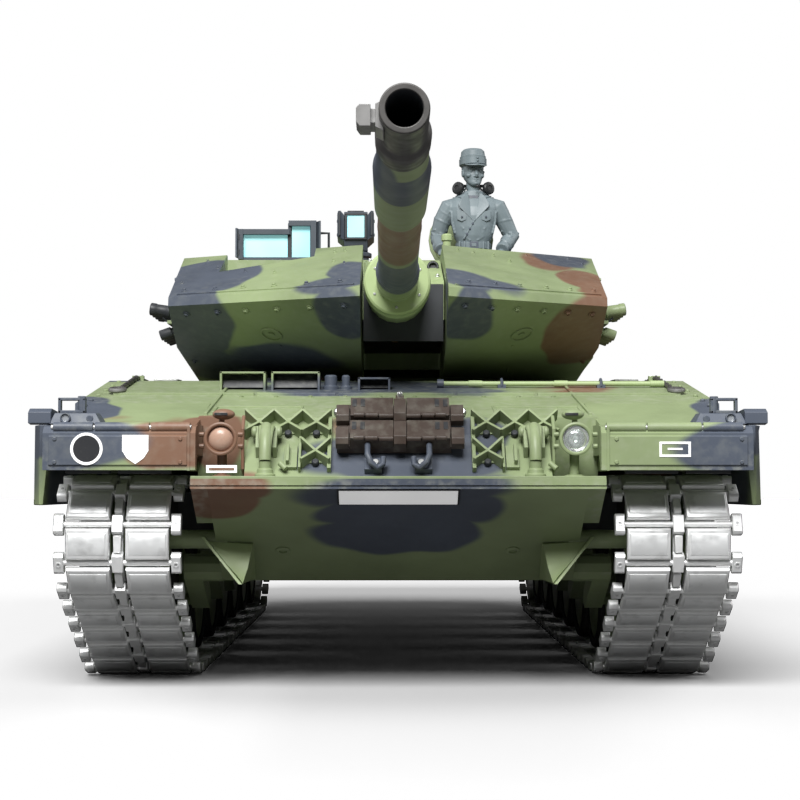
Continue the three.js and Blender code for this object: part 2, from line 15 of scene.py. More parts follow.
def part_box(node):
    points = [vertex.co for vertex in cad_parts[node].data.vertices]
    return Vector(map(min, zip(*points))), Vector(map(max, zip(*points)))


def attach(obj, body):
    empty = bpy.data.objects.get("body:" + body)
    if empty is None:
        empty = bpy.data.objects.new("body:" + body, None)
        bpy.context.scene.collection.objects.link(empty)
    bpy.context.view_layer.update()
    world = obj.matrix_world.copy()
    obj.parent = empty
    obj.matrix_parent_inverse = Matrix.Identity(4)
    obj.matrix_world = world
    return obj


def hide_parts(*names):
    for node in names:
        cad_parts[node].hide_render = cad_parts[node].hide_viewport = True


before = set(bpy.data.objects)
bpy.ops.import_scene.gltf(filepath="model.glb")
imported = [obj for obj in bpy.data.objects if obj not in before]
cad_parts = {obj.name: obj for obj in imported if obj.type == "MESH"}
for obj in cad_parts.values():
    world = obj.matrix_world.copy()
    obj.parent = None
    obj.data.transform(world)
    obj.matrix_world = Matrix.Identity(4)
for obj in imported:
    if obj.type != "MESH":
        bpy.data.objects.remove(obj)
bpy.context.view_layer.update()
MM = 0.001
SHARP = 0.62  # an edge that turns further than this many radians stays sharp
UP, FORWARD, BACK = (0, 0, 1), (0, -1, 0), (0, 1, 0)
BOX_FACES = [(0, 1, 3, 2), (4, 6, 7, 5), (0, 4, 5, 1), (2, 3, 7, 6), (0, 2, 6, 4), (1, 5, 7, 3)]
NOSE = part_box("upper_hull")[0].y
SIDES = (("left", 1), ("right", -1))
random.seed(16)


def span(node):
    """A node's box as ((x0, x1), (station0, station1), (z0, z1)), in millimetres."""
    low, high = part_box(node)
    return tuple(
        ((low[i] - shift) / MM, (high[i] - shift) / MM) for i, shift in enumerate((0.0, NOSE, 0.0))
    )


def metres(place):
    return Vector((place[0] * MM, NOSE + place[1] * MM, place[2] * MM))


# ---- camera, light and floor ---------------------------------------------------------------------
CAMERA_PLACE = (-3.0, -535.0, 64.0)
PITCH, YAW = math.radians(2.85), math.radians(0.37)
LENS = 79.5
AMBIENT = 0.06  # how much light the white surroundings give


def studio():
    scene = bpy.context.scene
    camera = bpy.data.objects.new("camera", bpy.data.cameras.new("camera"))
    camera.data.lens = LENS
    camera.data.clip_start = 0.01
    camera.location = metres(CAMERA_PLACE)
    camera.rotation_euler = (math.pi / 2 + PITCH, 0, -YAW)
    scene.collection.objects.link(camera)
    scene.camera = camera

    world = bpy.data.worlds.new("studio")
    scene.world = world
    world.use_nodes = True
    background = world.node_tree.nodes["Background"]
    background.inputs["Color"].default_value = (1, 1, 1, 1)
    seen = world.node_tree.nodes.new("ShaderNodeLightPath").outputs["Is Camera Ray"]
    strength = world.node_tree.nodes.new("ShaderNodeMapRange")
    strength.inputs["To Min"].default_value = AMBIENT
    strength.inputs["To Max"].default_value = 1.0
    world.node_tree.links.new(seen, strength.inputs["Value"])
    world.node_tree.links.new(strength.outputs["Result"], background.inputs["Strength"])
    scene.view_settings.view_transform = "Standard"

    def area(name, place, size, power, aim):
        light = bpy.data.lights.new(name, "AREA")
        light.shape = "RECTANGLE"
        light.size, light.size_y = size
        light.energy = power
        lamp = bpy.data.objects.new(name, light)
        lamp.location = metres(place)
        lamp.rotation_euler = (metres(aim) - lamp.location).to_track_quat("-Z", "Y").to_euler()
        scene.collection.objects.link(lamp)

    area("front_key", (-150, -730, 870), (0.7, 0.5), 24, (0, 40, 80))
    area("overhead", (0, 320, 1100), (1.1, 0.9), 2, (0, 260, 80))
    area("right_rim", (900, 300, 700), (0.6, 0.8), 4, (0, 200, 100))
    area("left_rim", (-900, 350, 650), (0.6, 0.8), 3.5, (0, 200, 100))

    bm = bmesh.new()
    bmesh.ops.create_grid(bm, x_segments=2, y_segments=2, size=9)
    mesh = bpy.data.meshes.new("floor")
    bm.to_mesh(mesh)
    bm.free()
    floor = bpy.data.objects.new("floor", mesh)
    scene.collection.objects.link(floor)
    floor_paint = bpy.data.materials.new("floor")
    floor_paint.use_nodes = True
    shader = floor_paint.node_tree.nodes["Principled BSDF"]
    shader.inputs["Base Color"].default_value = (0.12, 0.12, 0.12, 1)
    shader.inputs["Roughness"].default_value = 0.6
    mesh.materials.append(floor_paint)
    floor.is_shadow_catcher = True


studio()


# ---- materials -----------------------------------------------------------------------------------
GREEN = (0.232, 0.288, 0.147)
SLATE = (0.07, 0.083, 0.11)
BROWN = (0.185, 0.1, 0.062)


class Tree:
    """A short way to write a material's nodes."""

    def __init__(self, name):
        self.material = bpy.data.materials.new(name)
        self.material.use_nodes = True
        self.nodes = self.material.node_tree.nodes
        self.links = self.material.node_tree.links
        self.shader = self.nodes["Principled BSDF"]
        self.place = self.nodes.new("ShaderNodeTexCoord").outputs["Object"]

    def put(self, value, socket):
        if isinstance(value, bpy.types.NodeSocket):
            self.links.new(value, socket)
        elif isinstance(value, (tuple, list)) and len(value) == 3 and socket.type == "RGBA":
            socket.default_value = (*value, 1)
        else:
            socket.default_value = value

    def math(self, operation, a, b=0.0):
        node = self.nodes.new("ShaderNodeMath")
        node.operation = operation
        self.put(a, node.inputs[0])
        self.put(b, node.inputs[1])
        return node.outputs[0]

    def vector(self, operation, a, b=(0, 0, 0), out="Vector"):
        node = self.nodes.new("ShaderNodeVectorMath")
        node.operation = operation
        self.put(a, node.inputs[0])
        self.put(b, node.inputs[1])
        return node.outputs[out]

    def noise(self, size, detail=3.0, rough=0.5, place=None, out="Fac"):
        """Cloudy noise whose features are about size millimetres across."""
        node = self.nodes.new("ShaderNodeTexNoise")
        self.put(place or self.place, node.inputs["Vector"])
        node.inputs["Scale"].default_value = 1 / (size * MM)
        node.inputs["Detail"].default_value = detail
        node.inputs["Roughness"].default_value = rough
        return node.outputs[out]

    def ramp(self, value, low, high, to=(0.0, 1.0), smooth=False):
        node = self.nodes.new("ShaderNodeMapRange")
        node.interpolation_type = "SMOOTHSTEP" if smooth else "LINEAR"
        self.put(value, node.inputs["Value"])
        for socket, number in zip(("From Min", "From Max", "To Min", "To Max"), (low, high, *to)):
            node.inputs[socket].default_value = number
        return node.outputs["Result"]

    def mix(self, share, a, b, blend="MIX"):
        node = self.nodes.new("ShaderNodeMix")
        node.data_type = "RGBA"
        node.blend_type = blend
        self.put(share, node.inputs[0])
        self.put(a, node.inputs[6])
        self.put(b, node.inputs[7])
        return node.outputs[2]

    def bump(self, height, strength, depth=0.2):
        node = self.nodes.new("ShaderNodeBump")
        node.inputs["Strength"].default_value = strength
        node.inputs["Distance"].default_value = depth * MM
        self.put(height, node.inputs["Height"])
        self.links.new(node.outputs["Normal"], self.shader.inputs["Normal"])

    def surface(self, **sockets):
        for name, value in sockets.items():
            self.put(value, self.shader.inputs[name.replace("_", " ")])
        return self.material

    def edges(self, low=0.53, high=0.62):
        """How far a spot is on a worn outside edge."""
        point = self.nodes.new("ShaderNodeNewGeometry").outputs["Pointiness"]
        return self.ramp(point, low, high)


def finish_paint(tree, colour, rough=0.46):
    """Lays satin paint's variation, worn edges, dust and fine grain over a colour."""
    cloud = tree.ramp(tree.noise(34, 4), 0.3, 0.7, (0.86, 1.14))
    grey = tree.nodes.new("ShaderNodeCombineColor")
    for channel in ("Red", "Green", "Blue"):
        tree.put(cloud, grey.inputs[channel])
    toned = tree.mix(1.0, colour, grey.outputs[0], "MULTIPLY")
    wear = tree.math("MULTIPLY", tree.edges(), tree.ramp(tree.noise(3, 4), 0.45, 0.7, (0, 0.3)))
    worn = tree.mix(wear, toned, (0.42, 0.43, 0.36))
    speckle = tree.ramp(tree.noise(0.9, 2), 0.66, 0.76, (0, 0.05))
    dusty = tree.mix(speckle, worn, (0.36, 0.35, 0.28))
    tree.bump(tree.noise(0.55, 2), 0.12, 0.05)
    roughness = tree.ramp(tree.noise(9, 4), 0.3, 0.7, (rough - 0.07, rough + 0.09))
    return tree.surface(Base_Color=dusty, Roughness=roughness, Specular_IOR_Level=0.42)


def blobs_field(tree, place, blobs):
    """How far inside the nearest of some ellipsoids a spot is, in millimetres."""
    field = None
    for x, station, z, rx, rs, rz in blobs:
        offset = tree.vector("SUBTRACT", place, tuple(metres((x, station, z))))
        scaled = tree.vector("DIVIDE", offset, (rx * MM, rs * MM, rz * MM))
        length = tree.vector("LENGTH", scaled, out="Value")
        depth = tree.math("MULTIPLY", tree.math("SUBTRACT", 1.0, length), float(min(rx, rs, rz)))
        field = depth if field is None else tree.math("MAXIMUM", field, depth)
    return field


def camouflage(name, dark, brown, wild_from, size=62.0, seed=0.0):
    """Soft-edged three-tone camouflage: stated patches in front, drifting patches further back."""
    tree = Tree(name)
    warp = tree.vector("SUBTRACT", tree.noise(26, 1, place=tree.place, out="Color"),
        (0.5, 0.5, 0.5))
    place = tree.vector("ADD", tree.place, tree.vector("MULTIPLY", warp, (0.012, 0.012, 0.012)))
    split = tree.nodes.new("ShaderNodeSeparateXYZ")
    tree.put(tree.place, split.inputs[0])
    back = tree.ramp(split.outputs["Y"], NOSE + (wild_from - 8) * MM, NOSE + (wild_from + 8) * MM,
        (-40, 0))
    colour = GREEN
    for shade, blobs, shift in ((BROWN, brown, 3.7), (SLATE, dark, 0.0)):
        moved = tree.vector("ADD", place, (shift + seed, shift - seed, 2 * shift))
        drift = tree.math("SUBTRACT", tree.noise(size, 0.5, place=moved), 0.57 if shift else 0.53)
        field = tree.math("ADD", tree.math("MULTIPLY", drift, 120.0), back)
        if blobs:
            field = tree.math("MAXIMUM", field, blobs_field(tree, place, blobs))
        colour = tree.mix(tree.ramp(field, -0.9, 0.9, smooth=True), colour, shade)
    return finish_paint(tree, colour)


def plain_paint(name, colour, rough=0.46):
    return finish_paint(Tree(name), colour, rough)


def bare_metal(name, colour, rough=0.38, metallic=0.85, grain=2.2):
    tree = Tree(name)
    cast = tree.noise(grain, 5, 0.6)
    tone = tree.ramp(tree.noise(17, 4), 0.3, 0.7, (0, 1))
    shade = tree.mix(tone, tuple(c * 0.8 for c in colour), colour)
    grime = tree.ramp(tree.noise(5, 4), 0.55, 0.78, (0, 0.35))
    edge = tree.math("MULTIPLY", tree.edges(), 0.5)
    final = tree.mix(edge, tree.mix(grime, shade, (0.1, 0.1, 0.095)), (0.93, 0.93, 0.92))
    tree.bump(cast, 0.25, 0.12)
    roughness = tree.ramp(tree.noise(3.1, 4), 0.3, 0.7, (rough - 0.08, rough + 0.14))
    return tree.surface(Base_Color=final, Roughness=roughness, Metallic=metallic)


def moulded(name, colour, rough=0.5, grain=1.1, spec=0.5):
    tree = Tree(name)
    cloud = tree.ramp(tree.noise(11, 4), 0.3, 0.7, (0, 1))
    shade = tree.mix(cloud, tuple(c * 0.82 for c in colour),
        tuple(min(1, c * 1.12) for c in colour))
    tree.bump(tree.noise(grain, 3), 0.15, 0.06)
    roughness = tree.ramp(tree.noise(6, 3), 0.3, 0.7, (rough - 0.06, rough + 0.08))
    return tree.surface(Base_Color=shade, Roughness=roughness, Specular_IOR_Level=spec)


def window(name, colour, metallic=0.0, glow=0.0):
    tree = Tree(name)
    sheen = tree.ramp(tree.noise(24, 1), 0.35, 0.65, (0, 1))
    shade = tree.mix(sheen, colour, tuple(min(1, c * 1.35 + 0.05) for c in colour))
    tree.surface(Coat_Weight=1.0, Coat_Roughness=0.03, Metallic=metallic, Specular_IOR_Level=0.8)
    # glow adds emission to glass that is no lamp: a painted glow.
    if glow:
        tree.surface(Emission_Color=colour, Emission_Strength=glow)
    smear = tree.ramp(tree.noise(4, 4), 0.4, 0.8, (0.04, 0.16))
    return tree.surface(Base_Color=shade, Roughness=smear)


def clear_lens(name):
    tree = Tree(name)
    tree.surface(Transmission_Weight=0.9, IOR=1.45, Base_Color=(0.95, 1.0, 0.98))
    return tree.surface(Roughness=tree.ramp(tree.noise(1.4, 2), 0.3, 0.7, (0.03, 0.12)))


HULL_DARK = [
    (2, 3, 63, 34, 12, 7), (0, 26, 49, 27, 14, 12), (-8, 14, 57, 18, 12, 9),
    (18, 12, 57, 16, 12, 7),
    (0, 8, 72, 33, 9, 14), (24, 16, 80, 10, 14, 9),
    (-100, -2, 78, 26, 14, 10), (-108, 40, 88, 16, 40, 16), (106, -2, 76, 24, 12, 9),
    (112, 40, 88, 14, 40, 14),
    (-10, 104, 101, 40, 26, 6), (-26, 88, 97, 22, 9, 4), (22, 96, 98, 16, 20, 5),
    (112, 60, 70, 6, 34, 20),
    (-112, 60, 70, 6, 34, 20),
]
HULL_BROWN = [
    (-56, 6, 60, 14, 12, 9), (-48, 2, 65, 9, 7, 5), (-66, -2, 78, 18, 12, 9),
    (-58, 14, 80, 13, 16, 12),
    (0, 18, 82, 22, 12, 8), (-84, 30, 84, 22, 26, 3.5), (62, 100, 98, 20, 14, 4),
]
TURRET_DARK = [
    (-77, 140, 145, 25, 40, 20), (-80, 122, 126, 19, 34, 20), (-23, 92, 138, 15, 14, 8),
    (-16, 106, 143, 9, 30, 10),
    (-20, 94, 126, 10, 20, 9), (-46, 140, 113, 26, 24, 7), (-78, 150, 112, 20, 30, 8),
    (24, 98, 139, 14, 18, 9), (33, 100, 137, 13, 10, 5), (27, 90, 122, 11, 20, 14),
    (68, 174, 157, 11, 18, 7),
]
TURRET_BROWN = [
    (70, 128, 120, 15, 34, 19), (60, 160, 154, 12, 20, 6), (72, 142, 146, 11, 20, 10),
    (76, 126, 137, 9, 20, 8),
    (-84, 120, 104, 12, 16, 6),
]
GUN_DARK = [(0, -141, 136, 16, 14, 18), (-7, -157, 136, 7, 17, 10), (0, 26, 136, 16, 32, 18)]
GUN_BROWN = [(0, -47, 136, 18, 38, 20)]

HULL_PAINT = camouflage("hull_paint", HULL_DARK, HULL_BROWN, 118)
TURRET_PAINT = camouflage("turret_paint", TURRET_DARK, TURRET_BROWN, 200, seed=1.3)
GUN_PAINT = camouflage("gun_paint", GUN_DARK, GUN_BROWN, 400)
WHEEL_PAINT = plain_paint("wheel_paint", GREEN, 0.5)
GREEN_PAINT = plain_paint("green_paint", GREEN)
# A lighter copy of the green; on the nose brackets it is a painted highlight.
PALE_GREEN_AND_HIGHLIGHT = plain_paint("pale_green_and_painted_highlight", (0.36, 0.45, 0.22))
SLATE_PAINT = plain_paint("slate_paint", SLATE)
BROWN_PAINT = plain_paint("brown_paint", BROWN)
SPARE_PAINT = plain_paint("spare_track_paint", (0.055, 0.038, 0.029), 0.4)
TRACK_METAL = bare_metal("track_metal", (0.86, 0.87, 0.87), 0.4, 0.45)
STEEL = bare_metal("bright_steel", (0.7, 0.71, 0.7), 0.3, 0.9)
GUNMETAL = bare_metal("gunmetal", (0.085, 0.081, 0.077), 0.42, 0.3)
BRASS = bare_metal("brass_screw", (0.62, 0.36, 0.13), 0.3, 0.9)
DARK_PLASTIC = moulded("dark_plastic", (0.024, 0.027, 0.031), 0.5)
FRAME_PLASTIC = moulded("sight_frame_plastic", (0.05, 0.062, 0.078), 0.42)
RUBBER = moulded("wheel_rubber", (0.022, 0.022, 0.02), 0.78, 1.6, 0.3)
FIGURE = moulded("figure_plastic", (0.165, 0.205, 0.22), 0.48, 0.8)
HEADSET = moulded("headset_plastic", (0.012, 0.013, 0.014), 0.4)
GLOWING_WHITE_MARK = plain_paint("white_marking_painted_glow", (0.93, 0.93, 0.92), 0.5)
# The white marking also glows a little: a painted glow that makes it brighter than the lamps alone
# would.
GLOWING_WHITE_MARK.node_tree.nodes["Principled BSDF"].inputs["Emission Color"].default_value = (1, 1, 1, 1)
GLOWING_WHITE_MARK.node_tree.nodes["Principled BSDF"].inputs["Emission Strength"].default_value = 0.28
BLACK_MARK = plain_paint("black_marking", (0.016, 0.017, 0.02), 0.5)
RED_GLASS = window("red_glass", (0.35, 0.012, 0.01))
# The sight windows glow: a painted glow that makes them brighter than the light falling on them.
GLOWING_SIGHT_GLASS = window("sight_glass_painted_glow", (0.4, 0.86, 0.97), glow=0.3)
LAMP_GLASS = window("lamp_glass", (0.3, 0.32, 0.34))
MIRROR = window("lamp_reflector", (0.8, 0.82, 0.8), 0.9)
LENS_GLASS = clear_lens("lamp_lens")
BOARD = moulded("circuit_board", (0.012, 0.1, 0.045), 0.35)


# ---- building pieces -----------------------------------------------------------------------------
class Part:
    """Gathers solids, each with a material number, into one piece."""

    def __init__(self):
        self.bm = bmesh.new()

    def take(self, corners, faces, mat=0):
        made = [self.bm.verts.new(corner) for corner in corners]
        for face in faces:
            self.bm.faces.new([made[i] for i in face]).material_index = mat
        return made

    def convex(self, corners, mat=0):
        made = [self.bm.verts.new(corner) for corner in corners]
        out = bmesh.ops.convex_hull(self.bm, input=made)
        for item in out["geom"]:
            if isinstance(item, bmesh.types.BMFace):
                item.material_index = mat
        spare = [v for v in made if not v.link_faces]
        bmesh.ops.delete(self.bm, geom=spare, context="VERTS")
        flat = {e for v in made if v.is_valid for e in v.link_edges if len(e.link_faces) == 2}
        flat = [e for e in flat if e.calc_face_angle(0) < 0.01]
        bmesh.ops.dissolve_edges(self.bm, edges=flat, use_verts=False)

    def box(self, x, s, z, mat=0):
        self.take([(i, j, k) for i in x for j in s for k in z], BOX_FACES, mat)

    def slab(self, across, outline, mat=0):
        """The convex solid between copies of a (station, z) outline at each x in across."""
        self.convex([(x, s, z) for x in across for s, z in outline], mat)

    def prism(self, outline, axis, low, high, mat=0):
        """An outline in the two other coordinates, in x, station, z order, carried along axis."""
        def spot(u, v, w):
            return {0: (w, u, v), 1: (u, w, v), 2: (u, v, w)}[axis]

        n = len(outline)
        corners = [spot(u, v, w) for w in (low, high) for u, v in outline]
        faces = [tuple(range(n)), tuple(range(2 * n - 1, n - 1, -1))]
        faces += [(i, i + n, (i + 1) % n + n, (i + 1) % n) for i in range(n)]
        self.take(corners, faces, mat)

    def rings(self, loops, mat=0, closed=True, capped=True):
        """Skins a row of rings of equal count; mat may be a list with one number per band."""
        made = [[self.bm.verts.new(p) for p in loop] for loop in loops]
        n = len(made[0])
        for i in range(len(made) - 1):
            band = mat[i] if isinstance(mat, list) else mat
            for j in range(n if closed else n - 1):
                k = (j + 1) % n
                quad = [made[i][j], made[i][k], made[i + 1][k], made[i + 1][j]]
                self.bm.faces.new(quad).material_index = band
        if capped:
            ends = (mat[0], mat[-1]) if isinstance(mat, list) else (mat, mat)
            self.bm.faces.new(list(reversed(made[0]))).material_index = ends[0]
            self.bm.faces.new(made[-1]).material_index = ends[1]

    def turned(self, profile, centre, axis, n=28, mat=0):
        """A turned piece: profile is [radius, along] points, with axis as a direction."""
        along = Vector(axis).normalized()
        across = along.orthogonal().normalized()
        third = along.cross(across)
        middle = Vector(centre)
        loops = []
        for radius, w in profile:
            r = max(radius, 0.01)
            loops.append(
                [middle + along * w + (across * math.cos(t) + third * math.sin(t)) * r
                for t in circle(n)]
            )
        self.rings(loops, mat)

    def bar(self, a, b, r, r2=None, n=12, mat=0):
        a, b = Vector(a), Vector(b)
        self.turned([(r, 0), (r if r2 is None else r2, (b - a).length)], a, b - a, n, mat)

    def tube(self, points, r, n=8, mat=0, loop=False):
        """A bent round rod along points."""
        points = [Vector(p) for p in points]
        loops = []
        across = None
        count = len(points)
        for i, p in enumerate(points):
            before = points[(i - 1) % count] if loop or i else p
            after = points[(i + 1) % count] if loop or i < count - 1 else p
            way = (after - before).normalized()
            across = way.orthogonal() if across is None else across - way * across.dot(way)
            across.normalize()
            third = way.cross(across)
            loops.append([p + (across * math.cos(t) + third * math.sin(t)) * r for t in circle(n)])
        if loop:
            loops.append(loops[0])
        self.rings(loops, mat, capped=not loop)
        if loop:
            bmesh.ops.remove_doubles(self.bm, verts=self.bm.verts[-2 * n * count:], dist=0.001)

    def ball(self, centre, radii, mat=0, n=14):
        out = bmesh.ops.create_uvsphere(self.bm, u_segments=n, v_segments=n // 2 + 2, radius=1)
        for v in out["verts"]:
            v.co = Vector(centre) + Vector((v.co[i] * radii[i] for i in range(3)))
        for face in {f for v in out["verts"] for f in v.link_faces}:
            face.material_index = mat

    def bolt(self, place, facing, r=1.1, height=0.55, mat=0, n=6):
        self.turned([(r, -0.2), (r, height * 0.6), (r * 0.8, height)], place, facing, n, mat)

    def copy_of(self, node, mat=0):
        """Takes in a CAD node's own shape."""
        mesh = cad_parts[node].data
        self.take(
            [(v.co.x / MM, (v.co.y - NOSE) / MM, v.co.z / MM) for v in mesh.vertices],
            [tuple(p.vertices) for p in mesh.polygons],
            mat,
        )
        bmesh.ops.remove_doubles(self.bm, verts=self.bm.verts[:], dist=0.002)
        flat = [e for e in self.bm.edges if len(e.link_faces) == 2 and e.calc_face_angle(0) < 0.004]
        bmesh.ops.dissolve_edges(self.bm, edges=flat, use_verts=True)

    def finish(self, name, materials, body, bevel=0.22, stands_for=(), segments=2, melt=0):
        bm = self.bm
        bm.normal_update()
        for v in bm.verts:
            v.co = metres(v.co)
        for face in bm.faces:
            face.smooth = True
        for edge in bm.edges:
            edge.smooth = len(edge.link_faces) == 2 and edge.calc_face_angle(0) < SHARP
        mesh = bpy.data.meshes.new(name)
        bm.to_mesh(mesh)
        bm.free()
        for material in materials:
            mesh.materials.append(material)
        piece = bpy.data.objects.new(name, mesh)
        bpy.context.scene.collection.objects.link(piece)
        if bevel:
            soften = piece.modifiers.new("soft_edges", "BEVEL")
            soften.width = bevel * MM
            soften.segments = segments
            soften.limit_method = "ANGLE"
            soften.angle_limit = SHARP
            soften.harden_normals = True
        if melt:
            skin = piece.modifiers.new("one_skin", "REMESH")
            skin.mode = "VOXEL"
            skin.voxel_size = melt * MM
            skin.use_smooth_shade = True
            relax = piece.modifiers.new("relax", "SMOOTH")
            relax.factor = 0.5
            relax.iterations = 3
        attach(piece, body)
        if stands_for:
            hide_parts(*stands_for)
        return piece


def circle(n, start=0.0):
    return [start + 2 * math.pi * i / n for i in range(n)]


# ---- tracks --------------------------------------------------------------------------------------
BAND = 1.8  # half the track's thickness
LINKS = 78
TRACK_X = sum(span("track_left")[0]) / 2


def wheel_circle(node):
    (_, (s0, s1), (z0, z1)) = span(node)
    return [(s0 + s1) / 2, (z0 + z1) / 2, (z1 - z0) / 2]


def pitch_circles():
    """The four circles that the track's middle line runs round, as [station, z, radius]."""
    front, back = wheel_circle("road_wheel_left_1"), wheel_circle("road_wheel_left_7")
    for wheel in (front, back):
        wheel[2] = wheel[1] - BAND
    idler, sprocket = wheel_circle("idler_wheel_left"), wheel_circle("drive_sprocket_left")
    first, last = span("track_left")[1]
    idler[2] = idler[0] - first - BAND
    sprocket[2] = last - sprocket[0] - BAND
    return [front, back, sprocket, idler]


def track_line(count):
    """Evenly spaced spots round the track, as (station, z, heading); it runs back along the floor."""
    circles = pitch_circles()
    runs = []
    for i, (y, z, r) in enumerate(circles):
        y2, z2, r2 = circles[(i + 1) % 4]
        gap = math.hypot(y2 - y, z2 - z)
        heading = math.atan2(z2 - z, y2 - y) - math.asin((r2 - r) / gap)
        side = (math.sin(heading), -math.cos(heading))
        start = (y + side[0] * r, z + side[1] * r)
        runs.append((heading, start, math.sqrt(gap * gap - (r2 - r) ** 2)))
    steps = []
    for i, (heading, start, length) in enumerate(runs):
        steps.append((length, heading, start, None, 0))
        turn = (runs[(i + 1) % 4][0] - heading) % (2 * math.pi)
        circle_here = circles[(i + 1) % 4]
        steps.append((circle_here[2] * turn, heading, None, circle_here, turn))
    total = sum(step[0] for step in steps)
    spots = []
    for k in range(count):
        left = total * k / count
        for length, heading, start, ring, turn in steps:
            if left > length:
                left -= length
                continue
            if ring is None:
                spots.append((start[0] + math.cos(heading) * left,
                    start[1] + math.sin(heading) * left, heading))
            else:
                now = heading + turn * left / length
                spots.append((ring[0] + math.sin(now) * ring[2], ring[1] - math.cos(now) * ring[2],
                    now))
            break
    return spots, total / count


def eased(link):
    """Softens a track casting's rims and hands back its corners and faces."""
    bm = link.bm
    bm.normal_update()
    rims = [e for e in bm.edges if len(e.link_faces) == 2 and e.calc_face_angle(
        0) > 0.7 and e.calc_length() > 1.6]
    bmesh.ops.bevel(bm, geom=rims, offset=0.22, segments=1, affect="EDGES", profile=0.5)
    bm.verts.ensure_lookup_table()
    corners = [tuple(v.co) for v in bm.verts]
    faces = [tuple(v.index for v in f.verts) for f in bm.faces]
    bm.free()
    return corners, faces


def pad_solid(pitch):
    """One track link round its own middle, as (across, along, outwards) corners and faces."""
    link = Part()
    pad = pitch * 0.4
    for side in (-1, 1):
        inner, outer = sorted((side * 2.5, side * 16.0))
        link.convex(
            [
                (x, t, n)
                for n, grow in ((-0.5, 0.0), (1.0, 0.0), (1.5, -0.5))
                for x in (inner - grow, outer + grow)
                for t in (-pad - grow, pad + grow)
            ]
        )
        link.convex([(x, t, n) for x in sorted((side * 3.5, side * 15.2)) for t,
            n in ((-pad + 1.3, 1.5), (pad - 1.3, 1.5), (-pad + 1.6, BAND), (pad - 1.6, BAND))])
        link.box(sorted((side * 3.0, side * 11.1)), (-pad + 1.1, pad - 1.1), (-BAND, -0.45))
        link.box(sorted((side * 11.0, side * 15.6)), (-pad + 1.1, pad - 1.1), (-1.1, -0.45))
    link.box((-1.2, 1.2), (-pad * 0.55, pad * 0.55), (-1.7, 0.9))
    link.convex([(x, t, n) for n, w, q in ((-BAND, 1.6, 3.0), (-5.2, 0.8, 1.2)) for x in (-w, w)
        for t in (-q, q)])
    return eased(link)


def connector_solid():
    """The pin and the three connectors that join one link to the next."""
    joint = Part()
    joint.bar((-19.3, 0, 0), (19.3, 0, 0), 1.0, n=8)
    for side in (-1, 1):
        joint.convex([(x, t, n) for x in (side * 16.7, side * 19.7) for t,
            n in ((-3.3, -0.9), (-2.6, -1.6), (2.6, -1.6), (3.3, -0.9), (3.3, 0.9), (2.4, 1.6),
            (-2.4, 1.6), (-3.3, 0.9))])
        joint.turned([(0.9, 0), (0.9, 0.3), (0.5, 0.3), (0.5, 0.1)], (side * 18.2, 0, 1.5), UP, 8)
    joint.convex([(x, t, n) for x in (-1.75, 1.75) for t,
        n in ((-3.2, -1.5), (3.2, -1.5), (2.8, 1.5), (-2.8, 1.5))])
    return eased(joint)


def lay(band, solid, spot, sign):
    corners, faces = solid
    station, z, heading = spot
    c, s = math.cos(heading), math.sin(heading)
    placed = [
        (sign * (TRACK_X + x), station + t * c + n * s, max(0.02, z + t * s - n * c)) for x, t,
        n in corners
    ]
    band.take(placed, faces)


def tracks():
    spots, half_pitch = track_line(2 * LINKS)
    pad, connector = pad_solid(2 * half_pitch), connector_solid()
    for name, sign in SIDES:
        band = Part()
        for k, spot in enumerate(spots):
            lay(band, connector if k % 2 else pad, spot, sign)
        bmesh.ops.recalc_face_normals(band.bm, faces=band.bm.faces[:])
        band.finish(f"track_links_{name}", [TRACK_METAL], "hull", bevel=0,
            stands_for=[f"track_{name}"])


tracks()


# ---- wheels --------------------------------------------------------------------------------------
def ring_of(part, centre, axis, r, count, size, height, mat=0, start=0.0):
    """Bolt heads in a circle on a face that looks along axis."""
    along = Vector(axis).normalized()
    across = Vector((0, 1, 0))
    third = along.cross(across)
    for t in circle(count, start):
        spot = Vector(centre) + (across * math.cos(t) + third * math.sin(t)) * r
        part.bolt(spot, along, size, height, mat)


